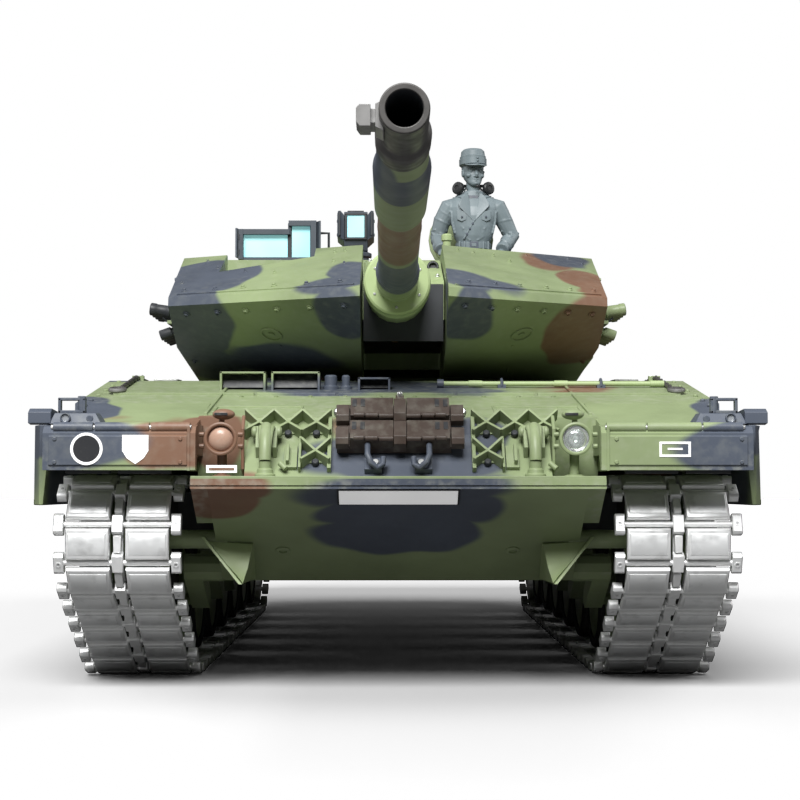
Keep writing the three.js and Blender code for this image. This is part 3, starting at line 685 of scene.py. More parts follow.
def road_wheels():
    for name, sign in SIDES:
        for i in range(1, 8):
            node = f"road_wheel_{name}_{i}"
            (x0, x1), _, _ = span(node)
            station, z, r = wheel_circle(node)
            middle, half = (x0 + x1) / 2, (x1 - x0) / 2
            rim = r - 3.4
            profile = [
                (0, -half + 0.6), (rim - 1, -half + 0.6), (rim, -half + 1), (rim, -half + 0.2),
                (r - 0.8, -half),
                (r, -half + 0.9), (r, -3.2), (r - 0.6, -2.5), (rim, -2.5), (14.7, -2.5),
                (14.7, 2.5), (rim, 2.5), (r - 0.6, 2.5), (r, 3.2), (r, half - 0.9), (r - 0.8, half),
                (rim, half - 0.2), (rim, half - 1), (rim - 1.2, half - 1), (rim - 2.2, half - 2.2),
                (rim - 3.4, 8.8), (10.4, 8.2), (9.2, 9.2), (6.6, 9.6), (6.2, 8.8), (5.6, 8.8),
                (5.4, 12.4),
                (4.9, half - 0.2), (1.2, half - 0.1), (0, half - 0.1),
            ]
            bands = [0, 0, 1, 1, 1, 1, 1, 1, 0, 0, 0, 1, 1, 1, 1, 1, 1] + [0] * (len(profile) - 18)
            wheel = Part()
            wheel.turned(profile, (middle, station, z), (sign, 0, 0), 40, bands)
            face = (middle + sign * 8.5, station, z)
            ring_of(wheel, face, (sign, 0, 0), 12.2, 10, 0.75, 0.7, 0)
            ring_of(wheel, (middle + sign * 9.4, station, z), (sign, 0, 0), 7.9, 8, 0.6, 0.6, 2)
            ring_of(wheel, (middle + sign * (half - 0.6), station, z), (sign, 0, 0), 3.4, 5, 0.5,
                0.55, 2)
            wheel.finish(f"{node}_detail", [WHEEL_PAINT, RUBBER, STEEL], f"wheel_{name}_{i}",
                0, [node])
            arm = Part()
            arm.copy_of(f"swing_arm_{name}_{i}")
            arm.finish(f"swing_arm_{name}_{i}_cast", [WHEEL_PAINT], f"arm_{name}_{i}",
                0.35, [f"swing_arm_{name}_{i}"])


def idlers_and_sprockets():
    for name, sign in SIDES:
        node = f"idler_wheel_{name}"
        (x0, x1), _, _ = span(node)
        station, z, r = wheel_circle(node)
        middle, half = (x0 + x1) / 2, (x1 - x0) / 2
        idler = Part()
        profile = [
            (0, -half + 1), (12, -half + 1), (13, -half), (r - 0.5, -half), (r, -half + 0.6),
            (r, -2.6), (10.6, -2.6),
            (10.6, 2.6), (r, 2.6), (r, half - 0.6), (r - 0.5, half), (13, half), (12, half - 3.4),
            (6, 7.6), (5.4, 10),
            (4.6, 11.4), (0, 11.4),
        ]
        idler.turned(profile, (middle, station, z), (sign, 0, 0), 36,
            [0] * 2 + [1] * 3 + [0] * 3 + [1] * 3 + [0] * 5)
        ring_of(idler, (middle + sign * 8.6, station, z), (sign, 0, 0), 9, 8, 0.8, 0.7)
        idler.finish(f"{node}_detail", [WHEEL_PAINT, STEEL], f"idler_{name}", 0,
            [node])

        node = f"drive_sprocket_{name}"
        station, z, r = wheel_circle(node)
        sprocket = Part()
        sprocket.copy_of(node)
        for side in (-1, 1):
            face = (sign * (TRACK_X + side * 13.5) + 2.05 * side * sign, station, z)
            ring_of(sprocket, face, (sign * side, 0, 0), 12.8, 11, 0.8, 0.4, 1, math.pi / 11)
        ring_of(sprocket, (sign * (TRACK_X + 15.1), station, z), (sign, 0, 0), 8.6, 8, 0.9, 0.7, 1)
        sprocket.finish(f"{node}_detail", [WHEEL_PAINT, STEEL], f"sprocket_{name}",
            0.3, [node])

        rollers = Part()
        rollers.copy_of(f"return_rollers_{name}")
        rollers.finish(f"return_rollers_{name}_cast", [RUBBER], "hull", 0.3,
            [f"return_rollers_{name}"])


road_wheels()
idlers_and_sprockets()


# ---- hull ----------------------------------------------------------------------------------------
ROOF = span("upper_hull")[2][1]
NOSE_HALF = 63.0
SLOPE_FOOT = (3.0, 67.2)  # station and height where the steep front plate starts
SLOPE_UP = Vector((0, 0.671, 0.742))
SLOPE_OUT = Vector((0, -0.742, 0.671))


def on_slope(x, along, out):
    """A spot on the steep front plate: along runs up the plate, out stands off it."""
    return Vector((x, *SLOPE_FOOT)) + SLOPE_UP * along + SLOPE_OUT * out


def slope_box(part, x, along, out, mat=0):
    part.take([on_slope(i, j, k) for i in x for j in along for k in out], BOX_FACES, mat)


def slope_slab(part, across, outline, mat=0):
    """The convex solid between copies of an (along, out) outline at each x in across."""
    part.convex([on_slope(x, a, o) for x in across for a, o in outline], mat)


def pair(sign, *distances):
    """Distances from the middle as low and high x on one side of the tank."""
    return sorted(sign * distance for distance in distances)


def hull_shells():
    for node, bevel in (("lower_hull", 0.7), ("upper_hull", 0.6), ("engine_deck", 0.5),
            ("skirt_left", 0.5), ("skirt_right", 0.5)):
        shell = Part()
        shell.copy_of(node)
        if node == "lower_hull":
            lower_front_details(shell)
        if node.startswith("skirt"):
            skirt_details(shell, 1 if node.endswith("left") else -1)
        shell.finish(f"{node}_shell", [HULL_PAINT, STEEL, DARK_PLASTIC, PALE_GREEN_AND_HIGHLIGHT], "hull",
            bevel, [node], 3)


SKIRT_FACE = 116.6
GLACIS_WAY = Vector((0, 0.867, -0.499))
GLACIS_OUT = Vector((0, -0.499, -0.867))


def under_nose(x, along, out):
    """A spot on the plate below the nose: along runs back and down it."""
    return Vector((x, 0, 64.5)) + GLACIS_WAY * along + GLACIS_OUT * out


def lower_front_details(part):
    for sign in (-1, 1):
        spot = under_nose(sign * 37, 41, 0)
        part.turned([(2.3, -0.2), (2.3, 0.35), (1.9, 0.6), (1.3, 0.6), (1.2, -0.1), (0, -0.1)],
            spot, GLACIS_OUT, 18)
        # The nose brackets take the lighter green: a painted highlight for the strong light on them.
        part.convex([(sign * x, s, z) for x, s, z in (
            (61.5, 33, 47.8), (46, 33, 46.8), (61, 30, 47), (46.4, 30, 46), (50.5, 25, 36),
            (47.4, 25.5, 39), (49, 25, 33.9),
            (62, 44, 47.8), (46, 44, 47.8), (52, 52, 33.9), (47, 52, 34),
        )], 3)
        part.convex([(sign * (x + i), s + j, z) for x, s, z in ((62, 30, 48.4), (49.6, 24, 33.8))
            for i in (-0.5, 0.5) for j in (-2, 3)], 3)
        # Dark sheets between the hull side and the track, behind the idler: painted shade that closes
        # the gap there.
        part.box(pair(sign, 57, 66.9), (50, 52), (44, 64), 2)
        part.box(pair(sign, 66, 72.5), (50.2, 51.8), (44.2, 62.5), 2)
    part.box((-NOSE_HALF, NOSE_HALF), (-0.35, 1.6), (63.7, 64.4))


def skirt_details(part, sign):
    """Draws the plate in a little, so that its bolts and hinges stay inside the tank's width."""
    for v in part.bm.verts:
        v.co.x = math.copysign(min(abs(v.co.x), SKIRT_FACE), v.co.x)
    _, (s0, _), (z0, z1) = span("skirt_left")
    for s in [s0 + 18 + k * 38.6 for k in range(12)]:
        part.box(pair(sign, SKIRT_FACE - 0.2, SKIRT_FACE + 0.35), (s - 0.5, s + 0.5),
            (z0 + 0.5, z1 - 0.5))
        for z in (z0 + 3.4, z1 - 3.4):
            for side in (-3.6, 3.6):
                part.bolt((sign * SKIRT_FACE, s + side, z), (sign, 0, 0), 0.95, 0.6)
    for s in [s0 + 37 + k * 77.2 for k in range(6)]:
        part.bar((sign * SKIRT_FACE, s - 4, z1 - 1.2), (sign * SKIRT_FACE, s + 4, z1 - 1.2), 0.8,
            n=10)
        part.box(pair(sign, SKIRT_FACE, SKIRT_FACE + 0.7), (s - 6, s + 6), (z0 + 7.6, z0 + 8.6))
        part.box(pair(sign, SKIRT_FACE, SKIRT_FACE + 0.7), (s - 6, s - 5), (z0 + 7.6, z0 + 13))
        part.box(pair(sign, SKIRT_FACE, SKIRT_FACE + 0.7), (s + 5, s + 6), (z0 + 7.6, z0 + 13))


def number_plate():
    plate = Part()
    corners = [under_nose(x, a, o) for x in (-18.7, 18.7) for a in (0.9, 10.2) for o in (0.1, 0.75)]
    plate.take(corners, BOX_FACES, 1)
    inset = [under_nose(x, a, o) for x in (-18.1, 18.1) for a in (1.5, 9.6) for o in (0.5, 0.95)]
    plate.take(inset, BOX_FACES, 0)
    plate.finish("number_plate_blank", [GLOWING_WHITE_MARK, BLACK_MARK], "hull", 0.12)


def mudguards():
    for name, sign in SIDES:
        guard = Part()
        guard.convex([(sign * x, s, z) for x in (64, 105.8) for s,
            z in ((-0.55, 71), (-0.55, 79.6), (0.4, 70.2), (0.4, 80.3))])
        guard.box(pair(sign, 63.1, 64.0), (-0.3, 26), (69.2, 82.6))
        for x0, x1 in ((63.2, 75), (75.6, 92), (92.6, 104.6)):
            guard.bar((sign * x0, 1.4, 82.4), (sign * x1, 1.4, 82.4), 1.55, n=14)
        guard.bar((sign * 62.8, 1.4, 82.4), (sign * 105.4, 1.4, 82.4), 0.8, n=10, mat=1)
        guard.prism([(10, 83.3), (55.2, 84), (55.2, 92.3)], 0, *pair(sign, 62.4, 104.6))
        for x0, x1 in ((69, 85), (87.5, 101)):
            guard.box(pair(sign, x0, x1), (1.2, 4.4), (68.4, 69.6), 2)
        for x in (66, 104):
            guard.bolt((sign * x, -0.5, 71.8), FORWARD, 0.7, 0.4)
            guard.bolt((sign * x, -0.5, 78.8), FORWARD, 0.7, 0.4)
        for s in (20, 34, 48):
            guard.bolt((sign * 103, s, 86 + (s - 20) * 0.19), (0, -0.18, 1), 0.8, 0.5)
        guard.finish(f"mudguard_{name}_front", [HULL_PAINT, STEEL, DARK_PLASTIC], "hull",
            0.25)

        lamp = Part()
        lamp.convex([(sign * x, s, z) for x, s, z in ((91, 6, 83.6), (107, 6, 83.6), (91, 18, 84),
            (107, 18, 84), (93, 8, 87), (105.6, 8, 87), (93, 16, 87.2), (105.6, 16, 87.2))])
        for low, high in ((87.0, 87.9), (90.9, 91.8)):
            lamp.box(pair(sign, 96.4, 104.8), (9, 11.6), (low, high))
        for x in (96.4, 103.9):
            lamp.box(pair(sign, x, x + 0.9), (9, 11.6), (87, 91.7))
        lamp.bar((sign * 97.6, 10.2, 87.2), (sign * 97.6, 10.2, 92.3), 1.3, n=14)
        lamp.turned([(1.6, 0), (1.6, 1.4), (1.2, 1.4), (1.1, 0.7), (0, 0.7)],
            (sign * 102, 7.0, 85.4), FORWARD, 16, [0, 0, 0, 1])
        lamp.bar((sign * 94.6, 6.4, 85.2), (sign * 94.6, 8, 85.2), 1.1, n=10)
        profile = [(0, 83.8), (3.4, 83.4), (11.5, 84), (13, 85.4), (11.6, 87.9), (2.6, 88.4),
            (0, 87.2)]
        lamp.prism([(6 + s, z) for s, z in profile], 0, *pair(sign, 106.4, 113.4))
        lamp.finish(f"width_lamp_{name}", [SLATE_PAINT, LAMP_GLASS], "hull", 0.45)


def markings():
    """Blank signs in place of the real one's numbers and badges."""
    signs = Part()
    centre = (-94.3, -0.6, 75.8)
    signs.turned([(4.9, 0), (4.9, 0.16), (4.1, 0.16), (4.05, 0.08), (3, 0.08)], centre, FORWARD, 36,
        [0, 0, 0, 1])
    shield = [(-75.6, 80.0), (-83.5, 80.0), (-83.5, 75.2), (-82.1, 73), (-79.5, 71.2), (-77, 73),
        (-75.6, 75.2)]
    signs.prism(shield, 1, -0.75, -0.5)
    for x0, x1, z0, z1 in ((79, 88.5, 77.3, 78), (79, 88.5, 73.4, 74.1), (79, 79.7, 74, 77.4),
            (87.8, 88.5, 74, 77.4), (81.5, 86, 75.5, 76.1)):
        signs.box((x0, x1), (-0.75, -0.5), (z0, z1))
    signs.box((-58.3, -49), (1.2, 1.8), (68.6, 70.9))
    signs.box((-57.5, -49.8), (1.1, 1.3), (69.3, 70.1), 2)
    signs.finish("blank_markings", [GLOWING_WHITE_MARK, BLACK_MARK, BROWN_PAINT], "hull", 0)


def headlights():
    for name, sign in SIDES:
        (x0, x1), (s0, _), (_, z1) = span(f"headlight_{name}")
        r = (x1 - x0) / 2
        x, z = (x0 + x1) / 2, z1 - r
        paint = GREEN_PAINT if sign > 0 else BROWN_PAINT
        lamp = Part()
        bowl = [(0, 10), (2.6, 9.8), (4.4, 7), (r - 0.5, 3), (r - 0.4, 1.6), (r, 1.4), (r, 0.2),
            (r - 0.5, 0), (r - 0.9, 0.1), (r - 1.1, 0.8)]
        inside = [(3.4, 2.6), (1.8, 4), (0, 4.4)]
        lamp.turned([(a, -b) for a, b in bowl + inside], (x, s0, z), FORWARD, 32, [0] * 9 + [1] * 3)
        lamp.bar((x, s0 + 6, z - 3), (x, s0 + 6, 66.9), 1.5, n=12)
        lamp.turned([(3.2, 0), (3.2, 1), (2.2, 1.4)], (x, s0 + 6, 66.7), UP, 16)
        for side in (-1, 1):
            for dz in (-2.2, 1.4):
                lamp.bar((x + side * (r + 0.1), s0 + 2, z + dz),
                    (x + side * (r + 1.6), s0 + 2, z + dz), 0.75, n=8)
        lamp.ball((x - sign * 0.6, s0 + 4, z + r + 2.5), (3.5, 2.6, 1.7), 0, 16)
        lamp.box((x - 2.6 - sign * 0.6, x + 1.4 - sign * 0.6), (s0 + 1.2, s0 + 2),
            (z + r + 2.1, z + r + 2.9), 2)
        lamp.bar((x, s0 + 4.4, z + r - 0.4), (x, s0 + 4.4, z + r + 1.4), 0.9, n=8)
        lamp.tube([(x - sign * 6.6, s0 + 12, 67), (x - sign * 6.6, s0 + 3, 70),
            (x - sign * 6.6, s0 + 2, z + 3), (x - sign * 6.4, s0 + 9, z + r + 2)], 0.6)
        lamp.finish(f"headlight_{name}_detail", [paint, MIRROR if sign > 0 else BROWN_PAINT,
            BLACK_MARK], "hull", 0.1, [f"headlight_{name}"])
        lens = Part()
        dome = [(0, 1.5), (1.4, 1.4), (2.6, 1.0), (3.4, 0.3), (3.9, -0.4), (3.9, -1.0), (0, -1.0)]
        lens.turned(dome, (x, s0 + 1.2, z), FORWARD, 28)
        lens.finish(f"headlight_{name}_lens",
            [LENS_GLASS if sign > 0 else plain_paint("painted_lens", (0.42, 0.27, 0.2), 0.25)],
            "hull", 0)


def grouser(part, x, along):
    """A square ice grouser with a raised cross, lying on the front plate."""
    half = 4.4
    for i in (-1, 1):
        for j in (-1, 1):
            tip, centre = on_slope(x + i * half, along + j * half, 0), on_slope(x, along, 0)
            across = (tip - centre).cross(SLOPE_OUT).normalized() * 0.42
            foot, head = SLOPE_OUT * -0.2, SLOPE_OUT
            part.convex([
                p + q * across + lift for q in (-1, 1)
                for p, lift in ((centre, foot), (tip, foot), (centre, head * 3.6),
                (tip, head * 4.6), (tip, head * 1.2))
            ])
    slope_box(part, (x - 2.6, x + 2.6), (along - 2.6, along + 2.6), (-0.1, 0.7))
    part.turned([(1.2, 0), (1.2, 1.2), (0.9, 1.5), (0, 1.5)], on_slope(x, along - 2.9, 0.4),
        SLOPE_OUT, 8, 2)


def tow_hook(part, x):
    part.turned([(3.2, 0), (3.2, 0.9), (2.6, 1.3), (2.4, 2.4), (1.9, 2.8), (1.9, 5), (0, 5)],
        (x, 3.4, 67.2), UP, 22)
    for side in (-1, 1):
        part.convex([on_slope(x + side * i, a, o) for i, a, o in (
            (1.9, 8, 0), (3.2, 8, 0), (2.2, 18, 0), (3.4, 18, 0), (1.9, 9, 3.8), (3.2, 9, 3.8),
            (2.2, 17, 5), (3.4, 17, 5),
        )])
        part.turned([(1.9, 0), (1.9, 0.9), (1.2, 1.5), (0, 1.5)],
            on_slope(x + side * 3.2, 15.6, 3.6), (side, 0, 0), 16)
    part.bar(on_slope(x - 4.6, 15.6, 3.6), on_slope(x + 4.6, 15.6, 3.6), 1.0, n=12)
    loop = [on_slope(x + i, a, o) for i, a, o in (
        (0, 16.6, 4.2), (0, 15.4, 5.8), (0, 12.8, 6.6), (0, 9.4, 6.6), (0, 6.2, 5.4),
        (0, 3.6, 3.6))]
    for shift, r in ((-1.9, 0.95), (0, 1.9), (1.9, 0.95)):
        part.tube([p + Vector((shift * (1 - k * 0.13), 0, 0)) for k, p in enumerate(loop)], r, n=12)
    part.bar((x + 4.4, 4, 71.6), (x + 6.4, 3, 69.8), 0.9, n=10)


def nose_details():
    fittings = Part()
    for sign, shift in ((-1, 0.0), (1, 2.0)):
        tow_hook(fittings, sign * (40.6 + shift * 0.6))
        for x in (43.2, 34.2, 25.4):
            grouser(fittings, sign * (x + shift), 20.4)
        grouser(fittings, sign * (25.4 + shift), 8.2)
        slope_box(fittings, pair(sign, 31 + shift, 35 + shift), (3, 12), (0, 1.4))
        slope_box(fittings, pair(sign, 33.4 + shift, 34.4 + shift), (4, 11), (1.2, 3.4))
        slope_box(fittings, pair(sign, 20.6 + shift, 21.8 + shift), (2, 24), (0, 2.2))
        slope_box(fittings, pair(sign, 29.8 + shift, 30.6 + shift), (2, 15), (0, 2.6))
        fittings.turned([(1.7, 0), (1.7, 1.4), (1.2, 2.2), (0, 2.2)],
            on_slope(sign * (18.4 + (1 + sign) * 0.6), 24, 3.2), (0, -0.9, 0.4), 14, 1)
    fittings.box((-NOSE_HALF, NOSE_HALF), (0.1, 2.4), (66.6, 67.6))
    fittings.finish("nose_fittings", [GREEN_PAINT, STEEL, DARK_PLASTIC], "hull",
        0.16)

    hooks = Part()
    for x, side in ((-9.4, 1), (9.4, -1)):
        hooks.tube([on_slope(x, 9, 5.2), on_slope(x, 4.4, 5.4), on_slope(x + side, 2.0, 4.6),
            on_slope(x + side * 3, 1.2, 3.2), on_slope(x + side * 4.6, 2.2, 3.4),
            on_slope(x + side * 4.8, 5, 3.6)], 0.95, n=10)
        slope_box(hooks, sorted((x - side, x + side * 4.4)), (1.4, 6.2), (0, 2.2))
        hooks.bar(on_slope(x + side * 2.4, 3.6, 2), on_slope(x + side * 2.4, 3.6, 3.4), 1.1, n=10,
            mat=1)
    hooks.finish("tow_hooks", [SLATE_PAINT, STEEL], "hull", 0.2)

    spare_links()


def spare_links():
    """Two spare links side by side across the nose, one above the other, pads outwards."""
    x0, x1 = -19.2, 20.2
    middle, half = (x0 + x1) / 2, (x1 - x0) / 2
    rack = Part()
    rack.copy_of("spare_track_rack")
    for row in (9.2, 19.0):
        for side in (-1, 1):
            low, high = sorted((middle + side * 2.0, middle + side * (half - 4.4)))
            rack.convex([on_slope(x, row + a, o) for x in (low, high) for a,
                o in ((0, 3), (8.2, 3), (0.3, 7.4), (8.0, 7.4))])
            for p, q, proud in ((0, 4.4, 0.0), (4.8, 8.6, 0.7), (9.0, 12.2, 1.3)):
                a, b = sorted((middle + side * (2 + p), middle + side * (2 + q)))
                rack.bar(on_slope(a, row + 0.4, 7.0 + proud * 0.3),
                    on_slope(b, row + 0.4, 7.0 + proud * 0.3), 1.0, n=10)
            for k in (0, 1):
                slot = middle + side * (half - 5.6 - k * 2.6)
                rack.convex([on_slope(x, row + a, o) for x in (slot - 0.7, slot + 0.7) for a,
                    o in ((4, 7.2), (7.2, 7.2), (4, 7.6), (7.2, 7.6))], 1)
            end = middle + side * (half - 2.0)
            rack.convex([on_slope(end + i, row + a, o) for i in (-2.0, 2.0) for a,
                o in ((0.2, 2.6), (5.6, 2.6), (-1.2, 4.2), (-1.2, 6.4), (0.2, 7.6), (4.6, 7.6),
                (5.8, 6.4))])
        rack.convex([on_slope(middle + i, row + a, o) for i in (-1.9, 1.9) for a,
            o in ((-1.4, 3), (8.4, 3), (-1.4, 6.6), (8.4, 6.6), (0.4, 8.3), (6.6, 8.3))])
    rack.convex([on_slope(middle + i, a, o) for i in (-1.3, 1.3) for a,
        o in ((27, 3), (30.6, 3), (27, 6.4), (30.2, 5.4))])
    rack.turned([(0.9, 0), (0.9, 1.6), (0.6, 2.0), (0, 2.0)], on_slope(middle, 29.4, 5),
        (0, -0.5, 0.85), 10, 2)
    rack.finish("spare_track_block", [SPARE_PAINT, BLACK_MARK, STEEL], "hull", 0.16,
        ["spare_track_rack"])


hull_shells()
number_plate()
mudguards()
markings()
headlights()
nose_details()


# ---- turret --------------------------------------------------------------------------------------
SOLIDS = {}


def face_at(node, origin, way):
    """Where a line from origin along way meets a CAD node, with the face's outward direction."""
    if node not in SOLIDS:
        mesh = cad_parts[node].data
        corners = [(v.co.x / MM, (v.co.y - NOSE) / MM, v.co.z / MM) for v in mesh.vertices]
        SOLIDS[node] = BVHTree.FromPolygons(corners, [tuple(p.vertices) for p in mesh.polygons])
    spot, facing, _, _ = SOLIDS[node].ray_cast(Vector(origin), Vector(way).normalized())
    return spot, facing


def from_front(node, x, z):
    return face_at(node, (x, -300, z), BACK)


def from_side(node, sign, station, z):
    return face_at(node, (sign * 300, station, z), (-sign, 0, 0))


def cap_bolt(part, spot, facing, r=1.5, mat=0):
    """A socket screw in a round washer."""
    if spot is None:
        return
    part.turned([(r * 1.3, -0.3), (r * 1.3, 0.25), (r * 1.15, 0.4), (r * 0.8, 0.4), (r * 0.8, 0.9),
        (r * 0.55, 1.15),
                 (r * 0.35, 0.7), (0, 0.7)], spot, facing, 14, mat)


def strip(part, a, b, facing, width, height, mat=0):
    """A flat strip from a to b, lying on a face."""
    if a is None or b is None:
        return
    a, b, facing = Vector(a), Vector(b), Vector(facing).normalized()
    across = (b - a).normalized().cross(facing) * width / 2
    corners = [p + q + facing * h for p in (a, b) for q in (-across, across)
        for h in (-0.3, height)]
    part.convex(corners, mat)


WEDGE_COLUMNS = {"right": (-77.8, -65.7, -54.9, -43.2, -31.1, -18.8),
    "left": (24.0, 33.9, 43.2, 53.4, 62.7, 72.2)}
WEDGE_UPPER = {
    "right": ((-76, 155.4), (-70, 150), (-58, 147), (-46, 145), (-24, 156), (-20, 156.4),
    (-24, 150), (-19.6, 148), (-82, 142)),
    "left": ((24, 156.6), (30, 156), (38, 155), (44, 152), (52, 157), (70, 157), (75, 154)),
}


def armour_wedges():
    for name, sign in SIDES:
        node = f"armour_wedge_{name}"
        wedge = Part()
        wedge.copy_of(node)
        columns = WEDGE_COLUMNS[name]
        for x in columns:
            cap_bolt(wedge, *from_front(node, x, 128.4), 1.15)
            cap_bolt(wedge, *from_front(node, x + sign * 1.5, 137.4), 0.85)
        for x, z in WEDGE_UPPER[name]:
            cap_bolt(wedge, *from_front(node, x, z), 0.55)
        inner, outer = columns[0 if sign > 0 else -1] - sign * 3.5, columns[-1 if sign > 0
            else 0] + sign * 3.5
        for z, height in ((135.6, 0.5), (109.6, 0.4)):
            a, facing = from_front(node, inner, z)
            strip(wedge, a, from_front(node, outer, z)[0], facing, 1.3, height)
        spot, facing = from_front(node, sign * 46.2, 120.8)
        wedge.turned([(4.3, -0.2), (4.3, 0.45), (3.7, 0.6), (3.5, -0.1), (0, -0.1)], spot, facing,
            24, [0, 0, 0, 1])
        wedge.turned([(1.2, -0.2), (1.2, 0.5), (0, 0.5)], spot, facing, 12, 0)
        a, facing = from_front(node, sign * 43, 117)
        strip(wedge, a, from_front(node, sign * 43.4, 109.5)[0], facing, 0.8, 0.3)
        for z in (114, 121, 128, 137, 146):
            cap_bolt(wedge, *from_side(node, sign, 158, z), 0.9)
        a, facing = from_side(node, sign, 128, 133)
        strip(wedge, a, from_side(node, sign, 186, 133)[0], facing, 1.0, 0.4)
        wedge.finish(f"{node}_plates", [TURRET_PAINT, DARK_PLASTIC], "turret", 0.35,
            [node])


def turret_body():
    shell = Part()
    shell.copy_of("turret_shell")
    _, (_, rear), (base, top) = span("turret_shell")
    for _, sign in SIDES:
        for station in range(252, 384, 13):
            for z in (113, 152):
                cap_bolt(shell, *from_side("turret_shell", sign, station, z), 0.7)
        for station in (246, 300, 345):
            for z0, z1 in ((112, 127), (135, 155)):
                low, facing = from_side("turret_shell", sign, station, z0)
                high, _ = from_side("turret_shell", sign, station, z1)
                strip(shell, low, high, facing, 1.4, 0.8)
        for s0, s1 in ((304, 341), (349, 388)):
            _, facing = from_side("turret_shell", sign, s0, 144)
            lid = [from_side("turret_shell", sign, s, z)[0] for s,
                z in ((s0, 137), (s0, 152), (s1, 152), (s1, 137))]
            shell.convex([p + facing * h for p in lid for h in (-0.3, 0.9)])
            for s in (s0 + 6, s1 - 6):
                hinge, _ = from_side("turret_shell", sign, s, 152)
                shell.bar(hinge + facing * 0.8 - Vector((0, 3, 0)),
                    hinge + facing * 0.8 + Vector((0, 3, 0)), 0.9, n=10)
                catch, _ = from_side("turret_shell", sign, s, 138.4)
                cap_bolt(shell, catch + facing * 0.9, facing, 0.8, 1)
        rail = [from_side("turret_shell", sign, s, z)[0] + Vector((sign * lift, 0, 0)) for s, z,
            lift in (
            (250, 146, -0.5), (250, 146, 4), (262, 146, 4.4), (290, 146, 4.4), (298, 146, 4),
            (298, 146, -0.5))]
        shell.tube(rail, 0.8)
    for x, s in ((-74, 300), (74, 300), (-60, 380), (60, 380)):
        lug = Vector((x, s, top))
        shell.tube([lug + Vector((0, -3.4, -0.4)), lug + Vector((0, -3, 3)),
            lug + Vector((0, 0, 4.4)), lug + Vector((0, 3, 3)), lug + Vector((0, 3.4, -0.4))], 1.0)
    for x, s, w, d, h in ((-46, 330, 30, 34, 2.4), (10, 330, 44, 40, 1.8), (56, 334, 20, 40, 2.4)):
        shell.convex([(x + i * w / 2 - i * c, s + j * d / 2 - j * c, top + k) for i in (-1, 1)
            for j in (-1, 1) for k, c in ((-0.2, 0), (h, 1.2))])
        for i in (-1, 1):
            for j in (-1, 1):
                cap_bolt(shell, (x + i * (w / 2 - 3.4), s + j * (d / 2 - 3.4), top + h), UP, 0.9, 1)
        for k in range(4):
            shell.box((x - w / 2 + 5, x + w / 2 - 5), (s - 9 + k * 5.4, s - 7.4 + k * 5.4),
                (top + h - 0.1, top + h + 0.6))
    for k in range(9):
        x = -52 + k * 13
        cap_bolt(shell, (x, rear - 5, top), UP, 0.8)
    for x in (-72, 72):
        shell.turned([(5.4, -0.2), (5.4, 1.6), (3.6, 3.2), (3.4, 5.6), (1.6, 7.2), (1.2, 14),
            (0.9, 14.4), (0, 14.4)], (x, 362, top), UP, 20, [0, 0, 0, 1, 1, 1, 1])
    shell.finish("turret_body", [TURRET_PAINT, STEEL], "turret", 0.45,
        ["turret_shell"])

    rack = Part()
    for z in (base + 6, (base + top) / 2, top - 6):
        rack.tube([(-74, rear - 1, z), (-74, rear + 13, z), (74, rear + 13, z), (74, rear - 1, z)],
            1.1)
    for k in range(13):
        x = -72 + k * 12
        rack.bar((x, rear + 13, base + 6), (x, rear + 13, top - 6), 0.75, n=8)
    for k in range(7):
        x = -66 + k * 22
        rack.bar((x, rear - 0.5, base + 6), (x, rear + 13, base + 6), 0.9, n=8)
    for x0, x1, high in ((-68, -26, 26), (-22, 20, 32), (26, 68, 24)):
        rack.slab((x0, x1), ((rear + 0.6, base + 7.4), (rear + 11.6, base + 7.4),
            (rear + 0.6, base + high), (rear + 10.2, base + high)), 1)
        for x in (x0 + 9, x1 - 9):
            rack.box((x - 1.2, x + 1.2), (rear + 0.6, rear + 12.1),
                (base + high - 0.6, base + high + 0.6), 2)
            rack.box((x - 1.2, x + 1.2), (rear + 10.6, rear + 12.2), (base + 8, base + high), 2)
    rack.finish("rear_stowage_rack", [GREEN_PAINT, FRAME_PLASTIC, BROWN_PAINT], "turret",
        0.4)


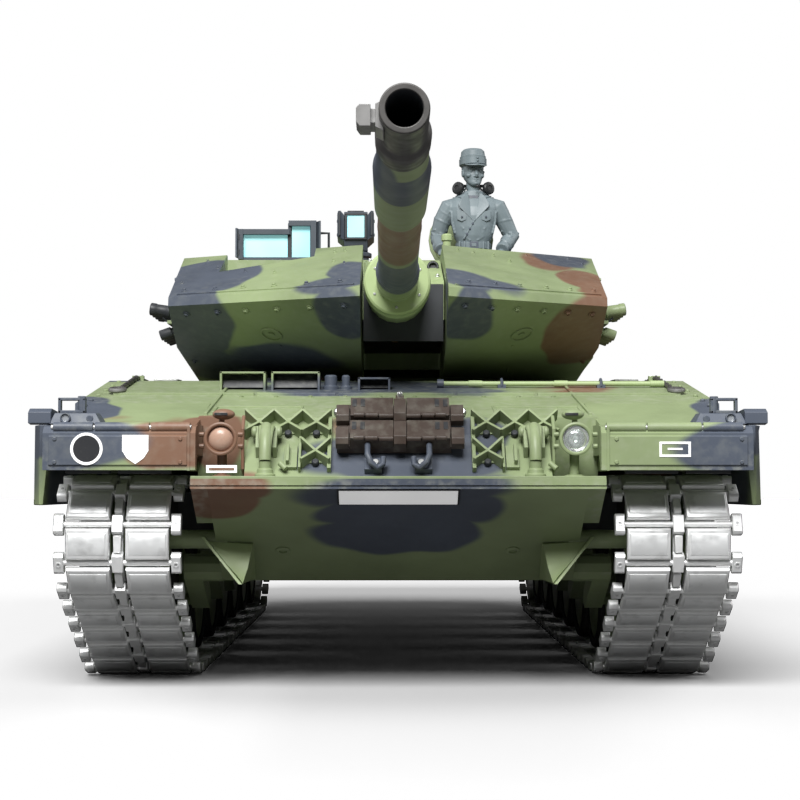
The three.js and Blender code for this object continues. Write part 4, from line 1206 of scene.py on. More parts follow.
def cupola():
    """The ring, periscopes and hinge round each roof hatch, and the two lids."""
    ring = Part()
    top = span("turret_shell")[2][1]
    (cx0, cx1), _, _ = span("commander_hatch")
    x, s = (cx0 + cx1) / 2, 262.0
    for k in range(14):
        t = math.tau * k / 14
        spot = (x + 16.3 * math.cos(t), s + 16.3 * math.sin(t), 161.7)
        ring.bolt(spot, UP, 0.75, 0.5, 1)
    for k in range(7):
        t = math.radians(205 + k * 22)
        out = Vector((math.cos(t), math.sin(t), 0))
        side = Vector((-out.y, out.x, 0))
        middle = Vector((x, s, top)) + out * 21.5
        ring.convex([middle + out * o + side * w + Vector((0, 0, z)) for o, w, z in (
            (-2.6, -3.4, -0.3), (-2.6, 3.4, -0.3), (3, -3.4, -0.3), (3, 3.4, -0.3),
            (-2.6, -3.4, 3.6), (-2.6, 3.4, 3.6), (1.6, -3.4, 3.6), (1.6, 3.4, 3.6))], 1)
        ring.convex([middle + out * o + side * w + Vector((0, 0, z)) for o, w, z in (
            (2.0, -2.7, 1.0), (2.0, 2.7, 1.0), (3.1, -2.7, 0.6), (3.1, 2.7, 0.6), (1.4, -2.7, 3.1),
            (1.4, 2.7, 3.1), (2.2, -2.7, 3.1), (2.2, 2.7, 3.1))], 2)
    for k in range(12):
        t = math.tau * k / 12 + 0.1
        ring.bolt((32 + 16 * math.cos(t), 258 + 16 * math.sin(t), 160.2), UP, 0.7, 0.5, 0)
    ring.turned([(3, -0.2), (3, 1.2), (1.8, 1.6), (1.8, 9.6), (2.4, 10), (2.4, 12.4), (1.6, 13),
        (0, 13)], (22.4, 232, top), UP, 16, 3)
    ring.bar((22.4, 232, top + 8), (22.4, 238, top + 4), 0.9, n=8, mat=3)
    ring.finish("cupola_fittings", [TURRET_PAINT, DARK_PLASTIC, GLOWING_SIGHT_GLASS, PALE_GREEN_AND_HIGHLIGHT], "turret",
        0.2)

    lid = Part()
    lid.copy_of("commander_hatch")
    lid_top = span("commander_hatch")[2][1] - 1.0
    lid.turned([(12.6, -0.4), (12.4, 0.9), (10.8, 1.3), (10.4, 0.9), (3.2, 0.9), (2.9, 2.2),
        (0, 2.4)], (x, s, 164.4), UP, 36)
    for k in range(6):
        t = math.tau * k / 6
        cap_bolt(lid, (x + 8 * math.cos(t), s + 8 * math.sin(t), 165.2), UP, 0.8)
    lid.tube([(x - 5, s - 9, lid_top - 0.4), (x - 5, s - 9, lid_top + 3),
        (x + 5, s - 9, lid_top + 3), (x + 5, s - 9, lid_top - 0.4)], 0.7, mat=1)
    lid.finish("commander_hatch_lid", [TURRET_PAINT, STEEL], "commander_lid", 0.3,
        ["commander_hatch"])

    open_lid = Part()
    open_lid.copy_of("loader_hatch")
    (lx0, lx1), (ls0, ls1), (_, lz1) = span("loader_hatch")
    middle = ((lx0 + lx1) / 2, ls0 + 0.2, lz1 - 15)
    open_lid.turned([(13.4, -0.4), (13.2, 0.7), (11.4, 1.1), (11, 0.5), (0, 0.5)], middle, FORWARD,
        36)
    for k in range(8):
        t = math.tau * k / 8 + 0.2
        cap_bolt(open_lid, (middle[0] + 8.6 * math.cos(t), ls0 - 0.2,
            middle[2] + 8.6 * math.sin(t)), FORWARD, 0.8)
    open_lid.tube([(middle[0] - 5, ls1 - 0.4, middle[2] + 4),
        (middle[0] - 5, ls1 + 2.4, middle[2] + 4), (middle[0] + 5, ls1 + 2.4, middle[2] + 4),
        (middle[0] + 5, ls1 - 0.4, middle[2] + 4)], 0.7)
    open_lid.finish("loader_hatch_lid", [TURRET_PAINT], "loader_lid", 0.25,
        ["loader_hatch"])


def gunner_sight():
    sight = Part()
    (x0, x1), (s0, s1), (z0, z1) = span("gunner_sight")
    split, left_top = -44.4, 172.0
    face = s0 + 3.4
    sight.slab((x0 + 1.6, split), ((face, z0), (s1, z0), (face, left_top - 0.8),
        (s1 - 9, left_top - 0.8), (s1, left_top - 6)))
    sight.slab((split, x1 - 0.6), ((face, z0), (s1, z0), (face, z1 - 0.8), (s1 - 10, z1 - 0.8),
        (s1, z1 - 7)))
    for a, b, low, high in ((x0 + 1.6, split - 0.2, z0 + 0.4, left_top - 2.2),
            (split + 0.2, x1 - 2, z0 + 0.4, z1 - 2)):
        sight.slab((a + 0.5, b - 0.5), ((face - 0.9, low), (face - 0.9, high), (face + 1, low),
            (face + 1, high)), 2)
        for u in (a + 0.2, b - 0.2):
            sight.box((u - 0.5, u + 0.5), (face - 1.3, face + 0.8), (low, high), 1)
        sight.box((a, b), (face - 1.3, face + 0.8), (low - 0.5, low + 0.5), 1)
    sight.box((x0 + 0.2, split), (s0, face + 0.6), (left_top - 2.2, left_top), 0)
    sight.box((split - 0.4, x1), (s0, face + 0.6), (z1 - 2.2, z1), 0)
    sight.box((x0 + 0.2, x0 + 2.2), (s0 - 0.2, face + 0.6), (z0 + 0.2, left_top), 0)
    sight.box((x1 - 2.4, x1), (s0 - 0.2, face + 0.6), (z0 + 0.2, z1), 0)
    sight.box((split - 0.7, split + 0.5), (s0 + 1.2, face + 0.6), (left_top - 2.2, z1 - 1), 0)
    sight.box((x0 + 0.2, x1), (s0 + 0.8, face + 0.6), (z0 - 0.6, z0 + 1.2), 0)
    sight.convex([(x, s, z) for x, s in ((x0 - 0.9, s0 - 1.6), (x0 - 0.2, s0 - 1.6),
        (x0 + 0.1, s0 + 4), (x0 + 0.9, s0 + 4)) for z in (z0 + 0.8, left_top + 0.2)], 3)
    for z in (z0 + 3, z0 + 9.4):
        sight.bar((x0 + 0.3, s0 + 0.5, z - 1.2), (x0 + 0.3, s0 + 0.5, z + 1.2), 0.9, n=10, mat=1)
    sight.convex([(x, s, z) for x, s in ((x1 - 0.4, s0 + 2), (x1 + 1.3, s0 - 2),
        (x1 + 0.2, s0 + 2.4), (x1 + 2, s0 - 2)) for z in (z0 + 1.6, z1 - 0.4)], 0)
    for x in (-61, -50, -40):
        for s in (face + 5, s1 - 12):
            cap_bolt(sight, (x, s, (left_top if x < split else z1) - 0.8), UP, 0.8, 1)
    for s in range(8):
        sight.box((x0 + 1.2, x0 + 1.9), (face + 4 + s * 3, face + 5.2 + s * 3),
            (z0 + 2, left_top - 4), 1)
    sight.tube([(x1 - 0.4, s0 + 6, z0 + 12), (x1 + 5, s0 + 6, z0 + 12), (x1 + 5, s0 + 6, z0 + 4),
        (x1 - 0.4, s0 + 6, z0 + 4)], 0.65, mat=1)
    sight.finish("gunner_sight_housing", [FRAME_PLASTIC, DARK_PLASTIC, GLOWING_SIGHT_GLASS, SLATE_PAINT],
        "turret", 0.22, ["gunner_sight"])


def panoramic_sight():
    sight = Part()
    (x0, x1), (s0, s1), (_, z1) = span("panoramic_sight")
    x, s = -17.4, 235.0
    sight.turned([(7.3, 0), (7.3, 1.8), (6.2, 2.4), (6.0, 5.2), (7.0, 5.8), (7.0, 7.4), (5.4, 8)],
        (x, s, 159.0), UP, 28)
    ring_of(sight, (x, s, 160.6), UP, 6.6, 10, 0.5, 0.5, 1)
    left, right = x - 5.0, x + 5.2
    sight.convex([(u, v, w) for u in (left, right) for v, w in (
        (s0 + 1.4, 171), (s0 + 1.2, 183.2), (s0 + 2.4, 184.2), (s1 - 3, 184.2), (s1 - 0.4, 181.5),
        (s1 - 0.4, 169), (s0 + 3, 167.2), (s1 - 3, 166.8))])
    for side, edge in ((-1, x0), (1, x1)):
        inner = left if side < 0 else right
        sight.convex([(u, v, w) for u, v, w in (
            (inner, s0 + 0.6, 171.6), (inner, s1 - 2, 169.6), (edge, s0 + 2.2, 173.6),
            (edge, s1 - 3, 172),
            (inner, s0 + 0.3, 182.6), (inner, s1 - 2, 183.4), (edge, s0 + 1.8, 183.2),
            (edge, s1 - 3, 181),
            (inner + side * 1.6, s0 + 0.4, z1), (inner + side * 2.6, s0 + 1.4, z1))])
        for w in (174.6, 180.6):
            sight.bolt((edge - side * 0.2, s - 1, w), (side, 0, 0), 0.8, 0.5, 1)
        sight.box(sorted((edge - side * 1.4, edge - side * 0.6)), (s0 + 0.4, s0 + 3),
            (173.6, 183.8), 1)
    for a, b, c, d in ((left + 0.3, right - 0.3, 182.4, 183.4),
            (left + 0.3, right - 0.3, 171.8, 172.8), (left + 0.3, left + 1.4, 172.2, 183),
            (right - 1.4, right - 0.3, 172.2, 183)):
        sight.box((a, b), (s0 + 0.2, s0 + 2), (c, d), 1)
    sight.box((left + 1.0, right - 1.0), (s0 + 0.8, s0 + 1.6), (172.6, 182.6), 2)
    sight.box((x - 3.2, x + 3.2), (s0 + 2, s0 + 5.4), (166.6, 170.8), 1)
    for u in (-2, 0, 2):
        sight.bar((x + u, s0 + 1.6, 168.6), (x + u, s0 + 3, 168.6), 0.7, n=8, mat=3)
    for k in range(4):
        sight.box((x - 3.6, x + 3.6), (s0 + 3.4 + k * 2.2, s0 + 4.4 + k * 2.2), (184.0, 184.9), 1)
    sight.bar((x - 2, s1 - 3, 172), (x - 2, s1 + 0.2, 172), 1.6, n=14, mat=1)
    sight.finish("panoramic_sight_head", [FRAME_PLASTIC, DARK_PLASTIC, GLOWING_SIGHT_GLASS, STEEL],
        "sight_head", 0.2, ["panoramic_sight"])


def smoke_launchers():
    for name, sign in SIDES:
        node = f"smoke_launchers_{name}"
        (x0, x1), (s0, s1), _ = span(node)
        wall = x0 if sign > 0 else x1
        base = Part()
        base.prism([(s0, 127.6), (s1, 127.6), (s1, 141.6), (s0, 141.6)], 0,
            *sorted((wall, wall + sign * 2.0)))
        for i in range(4):
            s = 207.5 + 9.2 * i
            base.bolt((wall + sign * 2.0, s + 4.4 if i < 3 else s - 4.4, 140), (sign, 0, 0), 0.7,
                0.5, 2)
            base.turned([(2.0, 0), (2.0, 3.2), (2.7, 3.6), (2.7, 4.4), (2.45, 4.8), (2.45, 9.2),
                (2.7, 9.6), (2.7, 11.6), (2.2, 12), (1.95, 12), (1.9, 10.8), (0, 10.6)],
                        (wall + sign * 1.0, s, 137.7), (sign, 0, 0.14), 18, [1] * 10 + [2])
            base.tube([(wall + sign * 3, s, 134.8), (wall + sign * 5.6, s + 1, 134.2),
                (wall + sign * 7.6, s, 135.6)], 0.5, n=6, mat=2)
            base.turned([(1.7, 0), (1.7, 2.6), (2.25, 3), (2.25, 7.6), (2.0, 8), (1.6, 8), (1.5, 7),
                (0, 6.8)],
                        (wall + sign * 1.0, s, 130.6), (sign, 0, -0.35), 16, [1] * 6 + [2])
        base.box(sorted((wall + sign * 1.6, wall + sign * 5)), (s0 + 1, s1 - 1), (132.6, 134), 0)
        base.finish(f"{node}_battery", [TURRET_PAINT, GREEN_PAINT if sign > 0 else DARK_PLASTIC,
            DARK_PLASTIC], "turret", 0.2, [node])


# ---- gun -----------------------------------------------------------------------------------------
GUN_HEIGHT = 136.0


def gun():
    muzzle = span("gun_barrel")[1][0]
    z = GUN_HEIGHT
    barrel = Part()
    profile = [
        (0, 90), (3.6, 90), (3.6, 0.3), (3.75, 0), (4.75, 0), (4.95, 0.25), (4.95, 22), (5.2, 23),
        (5.85, 24), (5.85, 33), (5.5, 34.4), (5.5, 35.2),
        (5.62, 36), (5.62, 37), (5.85, 52), (6.0, 54), (6.6, 60.6), (6.65, 62), (6.65, 115),
        (6.5, 117), (6.1, 118), (5.85, 122), (5.85, 124),
        (6.05, 150), (6.15, 151), (6.15, 153), (6.05, 154), (6.4, 240), (6.55, 241), (6.55, 243),
        (6.45, 244), (6.5, 247), (7.1, 248.2),
    ]
    steel = 13
    barrel.turned([(r, a) for r, a in profile], (0, muzzle, z), BACK, 48,
        [1, 1] + [2] * (steel - 2) + [0] * (len(profile) - 1 - steel))
    collar = [(7.1, 248), (7.1, 331), (6.4, 331.6), (0, 331.6)]
    barrel.turned(collar, (0, muzzle, z), BACK, 48, 0)
    for a in (250, 254, 274, 279):
        barrel.turned([(7.05, a), (7.3, a + 0.3), (7.3, a + 1.7), (7.05, a + 2)], (0, muzzle, z),
            BACK, 40, 0)
    front = muzzle + 4
    barrel.convex([(x, s, w) for x, s, w in (
        (-9.3, front, 134.2), (-9.3, front, 137), (-8.6, front, 133.4), (-8.6, front, 137.7),
        (-6.5, front, 133.4), (-6.5, front, 137.7),
        (-9.3, front + 8, 134.2), (-9.3, front + 8, 137), (-8.6, front + 9, 133.4),
        (-8.6, front + 9, 137.7), (-6.5, front + 9, 133.4), (-6.5, front + 9, 137.7))], 2)
    barrel.convex([(x, s, w) for x in (-7, -4.2) for s in (front + 1, front + 10)
        for w in (134.2, 137)], 2)
    barrel.convex([(x, s, w) for x, low, high in ((-5.6, 133.4, 137.9), (-4.0, 132.6, 138.8))
        for s in (front + 0.6, front + 11) for w in (low, high)], 2)
    for s in (front + 3, front + 7):
        barrel.bolt((-7.6, s, 137.6), UP, 0.6, 0.4, 2)
    barrel.finish("gun_barrel_tube", [GUN_PAINT, DARK_PLASTIC, GUNMETAL], "gun",
        0.12, ["gun_barrel"])

    mantlet = Part()
    mantlet.copy_of("gun_mantlet")
    # The low faces at the front of the mantlet casting, and a sheet over them, take the dark plastic,
    # so the casting is dark below the gun.
    for face in mantlet.bm.faces:
        middle = face.calc_center_median()
        if middle.z < 134 and middle.y > 116:
            face.material_index = 2
    (mx0, mx1), _, _ = span("gun_mantlet")
    mantlet.box((mx0 + 0.3, mx1 - 0.3), (114.3, 116), (118, 139.2), 2)
    sleeve = [(8.2, 0), (10.9, 0), (11.6, 0.6), (11.8, 3), (11.5, 5), (11.5, 9), (11.9, 9.6),
        (11.9, 12), (11.4, 12.6), (11.0, 38), (8.2, 38)]
    mantlet.turned([(r, a + 79.6) for r, a in sleeve], (0, 0, z), BACK, 44)
    for x, height in ((-10.4, 154), (-10.4, 147), (15.4, 156.6), (15.4, 143.4)):
        cap_bolt(mantlet, *from_front("gun_mantlet", x, height), 0.75, 1)
    spot, facing = from_front("gun_mantlet", 14.2, 149.6)
    mantlet.turned([(2.3, -0.3), (2.3, 1.6), (1.9, 2.0), (1.5, 2.0), (1.4, 0.6), (0, 0.6)], spot,
        (0, -1, 0.15), 20, [2, 2, 2, 2, 3])
    mantlet.box((spot.x - 3.4, spot.x + 2.8), (spot.y - 0.6, spot.y + 2),
        (spot.z - 6.2, spot.z - 4.6), 2)
    for u in (-2.4, 1.8):
        mantlet.bar((spot.x + u, spot.y - 1.4, spot.z - 5.4),
            (spot.x + u, spot.y + 1, spot.z - 5.4), 0.9, n=8, mat=1)
        mantlet.bar((spot.x + u, spot.y + 0.2, spot.z - 5),
            (spot.x + u * 0.4, spot.y + 0.4, spot.z - 1.4), 0.5, n=8, mat=2)
    spot, facing = from_front("gun_mantlet", -0.5, 121.3)
    mantlet.turned([(1.7, -0.2), (1.7, 0.6), (1.2, 1.1), (0.5, 1.1), (0.4, 0.6), (0, 0.6)], spot,
        facing, 18, 4)
    for k in range(6):
        t = math.tau * k / 6 + 0.5
        mantlet.bolt((9.0 * math.cos(t), 79.8, z + 9.0 * math.sin(t)), FORWARD, 0.6, 0.5, 1)
    mantlet.finish("mantlet_casting", [PALE_GREEN_AND_HIGHLIGHT, STEEL, DARK_PLASTIC, BLACK_MARK, BRASS], "gun",
        0.5, ["gun_mantlet"])


armour_wedges()
turret_body()
cupola()
gunner_sight()
panoramic_sight()
smoke_launchers()
gun()


# ---- hull deck, sides and back -------------------------------------------------------------------
DECK_FOOT, DECK_RISE = (20.0, 86.0), 0.1685  # where the shallow front plate starts, and its slope


def deck_z(station):
    return min(ROOF, DECK_FOOT[1] + (station - DECK_FOOT[0]) * DECK_RISE)


def deck_box(part, x, s, low, high, mat=0):
    """A box that follows the front plate's slope."""
    part.convex([(i, j, deck_z(j) + k) for i in x for j in s for k in (low, high)], mat)


def front_deck():
    deck = Part()
    for x0, x1, s0, s1 in ((-63.4, -47, 96, 105), (-45, -27.6, 96, 105), (-14, -2.4, 97, 105)):
        top = 105.6 if x1 < -20 else 103.6
        base = deck_z(s1) - 0.4
        deck.box((x0, x1), (s1 - 1, s1), (base - 1, top), 0)
        deck.box((x0, x0 + 0.8), (s0, s1), (base - 1.6, top), 0)
        deck.box((x1 - 0.8, x1), (s0, s1), (base - 1.6, top), 0)
        deck.box((x0, x1), (s0, s1), (top - 0.7, top), 0)
        deck.slab((x0 + 0.9, x1 - 0.9), ((s0 + 2.4, base), (s0 + 4.6, top - 0.8), (s1 - 1, base),
            (s1 - 1, top - 0.8)), 2)
    for x, r in ((-23.8, 2.3), (-18.4, 1.5)):
        deck.turned([(r + 0.6, -1), (r + 0.6, 0.8), (r, 1.2), (r, 4.4), (r - 0.5, 5), (0, 5)],
            (x, 101, deck_z(101)), UP, 20, 3)
    for a, b in ((-99, -50), (-49, -21.5), (-20.5, 20), (21, 48), (49, 99)):
        deck_box(deck, (a, b), (80.5, 83), -0.3, 0.9)
    for a, b in ((-60, -31), (31, 60)):
        deck_box(deck, (a, b), (46, 47), -0.3, 0.5)
        deck_box(deck, (a, a + 1), (32, 47), -0.3, 0.5)
        deck_box(deck, (b - 1, b), (32, 47), -0.3, 0.5)
    for x in range(-54, 60, 12):
        deck.bolt((x, 76, deck_z(76)), (0, -0.17, 1), 0.9, 0.5)
    for sign in (-1, 1):
        for s in (62, 76, 92, 108, 122):
            deck.bolt((sign * 103.4, s, 92.6 + (s - 56) * 0.162), (0, -0.16, 1), 0.9, 0.6)
        deck.convex([(sign * x, s, z) for x, s in ((60.8, 27), (61.8, 27), (60.8, 120),
            (61.8, 120)) for z in (84, deck_z(s) + 0.8)])
    deck.finish("front_deck_fittings", [HULL_PAINT, STEEL, BLACK_MARK, SLATE_PAINT], "hull",
        0.16)

    rod = Part()
    z = deck_z(105) + 1.5
    rod.bar((16, 105, z), (97, 105, z), 0.85, n=14)
    for x in (26, 57, 92):
        rod.bar((x, 105, z), (x + 5, 105, z), 1.15, n=14)
    for x in (38, 74):
        rod.box((x - 1.5, x + 1.5), (103.2, 106.8), (z - 2, z - 0.4), 1)
        rod.tube([(x, 103.4, z - 1), (x, 103.6, z + 0.9), (x, 105, z + 1.6), (x, 106.4, z + 0.9),
            (x, 106.6, z - 1)], 0.55, mat=1)
    rod.bar((14.6, 105, z), (17, 105, z), 1.6, n=14, mat=1)
    rod.finish("cleaning_rod", [PALE_GREEN_AND_HIGHLIGHT, SLATE_PAINT], "hull", 0.08)

    hatch = Part()
    hatch.copy_of("driver_hatch")
    (x0, x1), (s0, s1), (_, top) = span("driver_hatch")
    for x in (x0 + 5, x1 - 5):
        for s in (s0 + 5, s1 - 5):
            cap_bolt(hatch, (x, s, top), UP, 0.8)
    hatch.turned([(3.2, -0.2), (3.2, 0.5), (2.6, 0.7), (0, 0.7)],
        ((x0 + x1) / 2, (s0 + s1) / 2, top), UP, 22)
    hatch.finish("driver_hatch_lid", [HULL_PAINT], "hull", 0.3, ["driver_hatch"])


def cable(part, points, r, mat):
    """A tow cable in rigid relief: three strands wound round its line."""
    points = [Vector(p) for p in points]
    fine = []
    for a, b in zip(points, points[1:]):
        steps = max(2, int((b - a).length / 1.6))
        fine += [a.lerp(b, k / steps) for k in range(steps)]
    fine.append(points[-1])
    for strand in range(3):
        line = []
        for k, p in enumerate(fine):
            way = (fine[min(k + 1, len(fine) - 1)] - fine[max(k - 1, 0)]).normalized()
            up = Vector((0, 0, 1))
            side = way.cross(up).normalized()
            t = k * 0.5 + strand * math.tau / 3
            line.append(p + (side * math.cos(t) + way.cross(side) * math.sin(t)) * r * 0.48)
        part.tube(line, r * 0.55, n=6, mat=mat)


def side_stowage():
    for name, sign in SIDES:
        tools = Part()
        z = ROOF + 1.1
        cable(tools, [(sign * 98, 88, 98.6), (sign * 98, 130, z + 0.2), (sign * 98, 320, z),
            (sign * 92, 332, z), (sign * 84, 335, z)], 1.0, 1)
        for s in (134, 190, 250, 306):
            tools.box(pair(sign, 95.8, 100.2), (s, s + 2.4), (ROOF - 0.2, z + 1.2), 0)
            tools.bolt((sign * 96.6, s + 1.2, z + 1.1), UP, 0.6, 0.4, 2)
        tools.tube([(sign * 98 + 2.4 * math.cos(t), 84 + 3.4 * math.sin(t),
            98.4 + 0.56 * math.sin(t)) for t in circle(14)], 0.9, n=8, mat=1, loop=True)
        for s0, s1, x, r in ((150, 214, 88, 0.95), (222, 296, 88, 0.95), (160, 236, 82.5, 0.8)):
            tools.bar((sign * x, s0, z), (sign * x, s1, z), r, n=12, mat=3)
            for s in (s0 + 12, s1 - 14):
                tools.box(pair(sign, x - 2.2, x + 2.2), (s, s + 2), (ROOF - 0.2, z + 1.0), 0)
        head = [(145, -5.4), (153, -4.6), (156, 0), (153, 4.6), (145, 5.4), (139, 4.4), (138, -4.4)]
        tools.convex([(sign * 88 + w, s, h) for s, w in head for h in (ROOF + 0.1, z + 0.2)], 2)
        tools.convex([(sign * 88 + w, s, h) for s, w in ((292, -1.6), (300, -1.6), (304, -6),
            (294, -7), (300, 3), (292, 3)) for h in (ROOF + 0.1, z + 0.8)], 2)
        tools.finish(f"deck_tools_{name}", [HULL_PAINT, GUNMETAL, STEEL, BROWN_PAINT], "hull",
            0.12)


def grille(part, centre, r, z):
    part.turned([(r + 2.6, -0.4), (r + 2.6, 1.0), (r + 1.6, 1.5), (r, 1.5), (r - 0.3, 0.3),
        (0, 0.3)], (*centre, z), UP, 48, [0, 0, 0, 0, 2])
    for k in range(1, 5):
        ring = r * k / 5
        part.tube([(centre[0] + ring * math.cos(t), centre[1] + ring * math.sin(t), z + 1.1)
            for t in circle(36)], 0.45, n=6, loop=True)
    for t in circle(12):
        a = (centre[0] + 3 * math.cos(t), centre[1] + 3 * math.sin(t), z + 1.0)
        b = (centre[0] + r * math.cos(t), centre[1] + r * math.sin(t), z + 1.0)
        part.bar(a, b, 0.5, n=6)
    part.turned([(3.4, 0), (3.4, 1.2), (2.6, 1.7), (0, 1.7)], (*centre, z), UP, 24)
    for t in circle(12, 0.2):
        part.bolt((centre[0] + (r + 1.9) * math.cos(t), centre[1] + (r + 1.9) * math.sin(t),
            z + 1.2), UP, 0.6, 0.5, 1)


def engine_deck_details():
    deck = Part()
    _, (s0, s1), (_, z) = span("engine_deck")
    for x in (-38, 38):
        grille(deck, (x, 440), 24, z)
    for side in (-1, 1):
        low, high = sorted((side * 8, side * 68))
        deck.box((low, high), (s0 + 7, s0 + 61), (z - 0.2, z + 0.5))
        deck.box((low + 2, high - 2), (s0 + 9, s0 + 59), (z + 0.4, z + 0.7), 2)
        for k in range(14):
            s = s0 + 9.8 + k * 3.6
            deck.convex([(x, s + j, z + h) for x in (low + 2, high - 2) for j,
                h in ((0, 0.5), (2.4, 0.5), (1.8, 1.9), (2.6, 1.9))])
        for s in (s0 + 10, s0 + 34, s0 + 58):
            for x in (low - 1.4, high + 1.4):
                cap_bolt(deck, (x, s, z), UP, 0.75, 1)
        deck.tube([(side * 72, s0 + 20, z - 0.2), (side * 72, s0 + 20, z + 1.6),
            (side * 72, s0 + 30, z + 1.6), (side * 72, s0 + 30, z - 0.2)], 0.6)
    deck.box((-1.2, 1.2), (s0 + 4, s1 - 4), (z - 0.2, z + 0.8))
    for s in range(int(s0) + 6, int(s1), 12):
        deck.bolt((0, s, z + 0.7), UP, 0.8, 0.5, 1)
        for side in (-1, 1):
            deck.bolt((side * 73, s, z), UP, 0.8, 0.5, 1)
    for side in (-1, 1):
        for s in range(346, 474, 14):
            deck.bolt((side * 79, s, ROOF), UP, 0.8, 0.5)
        deck.turned([(5.4, -0.3), (5.4, 0.9), (4.6, 1.4), (0, 1.4)], (side * 91, 356, ROOF), UP, 26)
        deck.box(sorted((side * 86.4, side * 95.6)), (355.4, 356.6), (ROOF + 1.2, ROOF + 2))
        deck.convex([(side * x, s, ROOF + h) for x in (83, 103) for s,
            h in ((380, -0.2), (430, -0.2), (382, 4.6), (428, 4.6))])
        for s in (392, 418):
            deck.box(sorted((side * 102.6, side * 103.6)), (s, s + 4), (ROOF + 1, ROOF + 3.4), 1)
        for s in (386, 424):
            deck.bar((side * 84, s - 2.4, ROOF + 4.4), (side * 84, s + 2.4, ROOF + 4.4), 0.8, n=10)
    deck.finish("engine_deck_fittings", [HULL_PAINT, STEEL, BLACK_MARK], "hull",
        0.12)


def rear_face(z):
    """The station of the back plate at a height."""
    return 477.0 + (z - 68.0) / 6.0


def rear_plate():
    rear = Part()
    for x in (-34, 34):
        for k in range(9):
            z = 74 + k * 1.9
            s = rear_face(z)
            rear.convex([(x + i * 17, s + j, z + h) for i in (-1, 1) for j,
                h in ((-0.3, 0), (-0.3, 1.2), (1.2, -0.2), (1.2, 0.3))])
        rear.convex([(x + i * 19, rear_face(z) + j, z) for i in (-1, 1) for z in (71.6, 72.8)
            for j in (-0.3, 1.6)])
        rear.convex([(x + i * 19, rear_face(z) + j, z) for i in (-1, 1) for z in (91.6, 92.8)
            for j in (-0.3, 0.7)])
        for i in (-18.4, 18.4):
            rear.convex([(x + i + u, rear_face(z) + j, z) for u in (-0.8, 0.8) for z in (72, 92.4)
                for j in (-0.3, 0.8)])
    for sign in (-1, 1):
        for x, mat in ((93, 2), (100, 3)):
            z = 79
            rear.turned([(2.9, -0.3), (2.9, 1.4), (2.5, 1.9), (2.3, 1.5), (0, 1.7)],
                (sign * x, rear_face(z), z), BACK, 22, [0, 0, 0, mat])
        rear.box(pair(sign, 87.5, 104), (rear_face(84) - 1, rear_face(84) + 1.6), (83.4, 84.4))
        for x in (62, 72):
            rear.convex([(sign * x + u, s, z) for u in (-1.3, 1.3) for s,
                z in ((476, 72), (481.4, 74), (481.4, 79), (478, 82))])
        rear.bar((sign * 60, 480, 76.6), (sign * 74, 480, 76.6), 1.0, n=12, mat=1)
        for z in (72, 90):
            for x in (58, 82, 106):
                rear.bolt((sign * x, rear_face(z), z), BACK, 0.8, 0.5)
    rear.convex([(x, rear_face(z) + j, z) for x in (-7, 7) for z in (72, 84) for j in (-0.3, 1.5)])
    rear.turned([(4.2, 0), (4.2, 0.8), (3.4, 1.2), (1.4, 1.2), (1.2, 0.5), (0, 0.5)],
        (0, rear_face(78) + 1.2, 78), BACK, 26, [0, 0, 1, 1, 4])
    rear.finish("rear_plate_fittings", [HULL_PAINT, STEEL, RED_GLASS, LAMP_GLASS, DARK_PLASTIC],
        "hull", 0.14)


def belly():
    under = Part()
    low = span("lower_hull")[2][0]
    for s in range(130, 440, 52):
        under.box((-40, 40), (s, s + 1.2), (low - 0.5, low + 0.3))
        for x in (-44, 44):
            under.bolt((x, s, low), (0, 0, -1), 1.2, 0.7, 1)
    for x, s, r in ((-20, 180, 9), (20, 300, 12), (0, 400, 7)):
        under.turned([(r, -0.3), (r, 0.5), (r - 1, 0.9), (0, 0.9)], (x, s, low), (0, 0, -1), 30)
        ring_of(under, (x, s, low - 0.6), (0, 0, -1), r - 2, 8, 0.8, 0.6, 1)
    under.finish("belly_covers", [GREEN_PAINT, STEEL], "hull", 0.14)


front_deck()
side_stowage()
engine_deck_details()
rear_plate()
belly()


# ---- crew figure ---------------------------------------------------------------------------------
CREW = (35.2, 258.0)  # the middle of the figure, across and back


def spot_on(u, forward, z, turn=0.0):
    """A place on the figure: u to the tank's left, forward towards the nose, turned about the neck."""
    c, s = math.cos(turn), math.sin(turn)
    return Vector((CREW[0] + u * c + forward * s, CREW[1] - forward * c + u * s, z))


def section(z, wide, deep, shift=0.0, n=28, turn=0.0, square=2.4):
    ring = []
    for t in circle(n):
        c, s = math.cos(t), math.sin(t)
        u = math.copysign(abs(c) ** (2 / square), c) * wide
        f = math.copysign(abs(s) ** (2 / square), s) * deep
        ring.append(spot_on(u, -f + shift, z, turn))
    return ring


def limb(part, points, radii, n=14):
    """A tapering limb through points."""
    points = [Vector(p) for p in points]
    loops = []
    across = None
    for i, (p, r) in enumerate(zip(points, radii)):
        way = (points[min(i + 1, len(points) - 1)] - points[max(i - 1, 0)]).normalized()
        across = way.orthogonal() if across is None else across - way * across.dot(way)
        across.normalize()
        third = way.cross(across)
        loops.append([p + (across * math.cos(t) + third * math.sin(t)) * r for t in circle(n)])
    part.rings(loops)


def fold(part, points, r=0.42):
    part.tube(points, r, n=6)


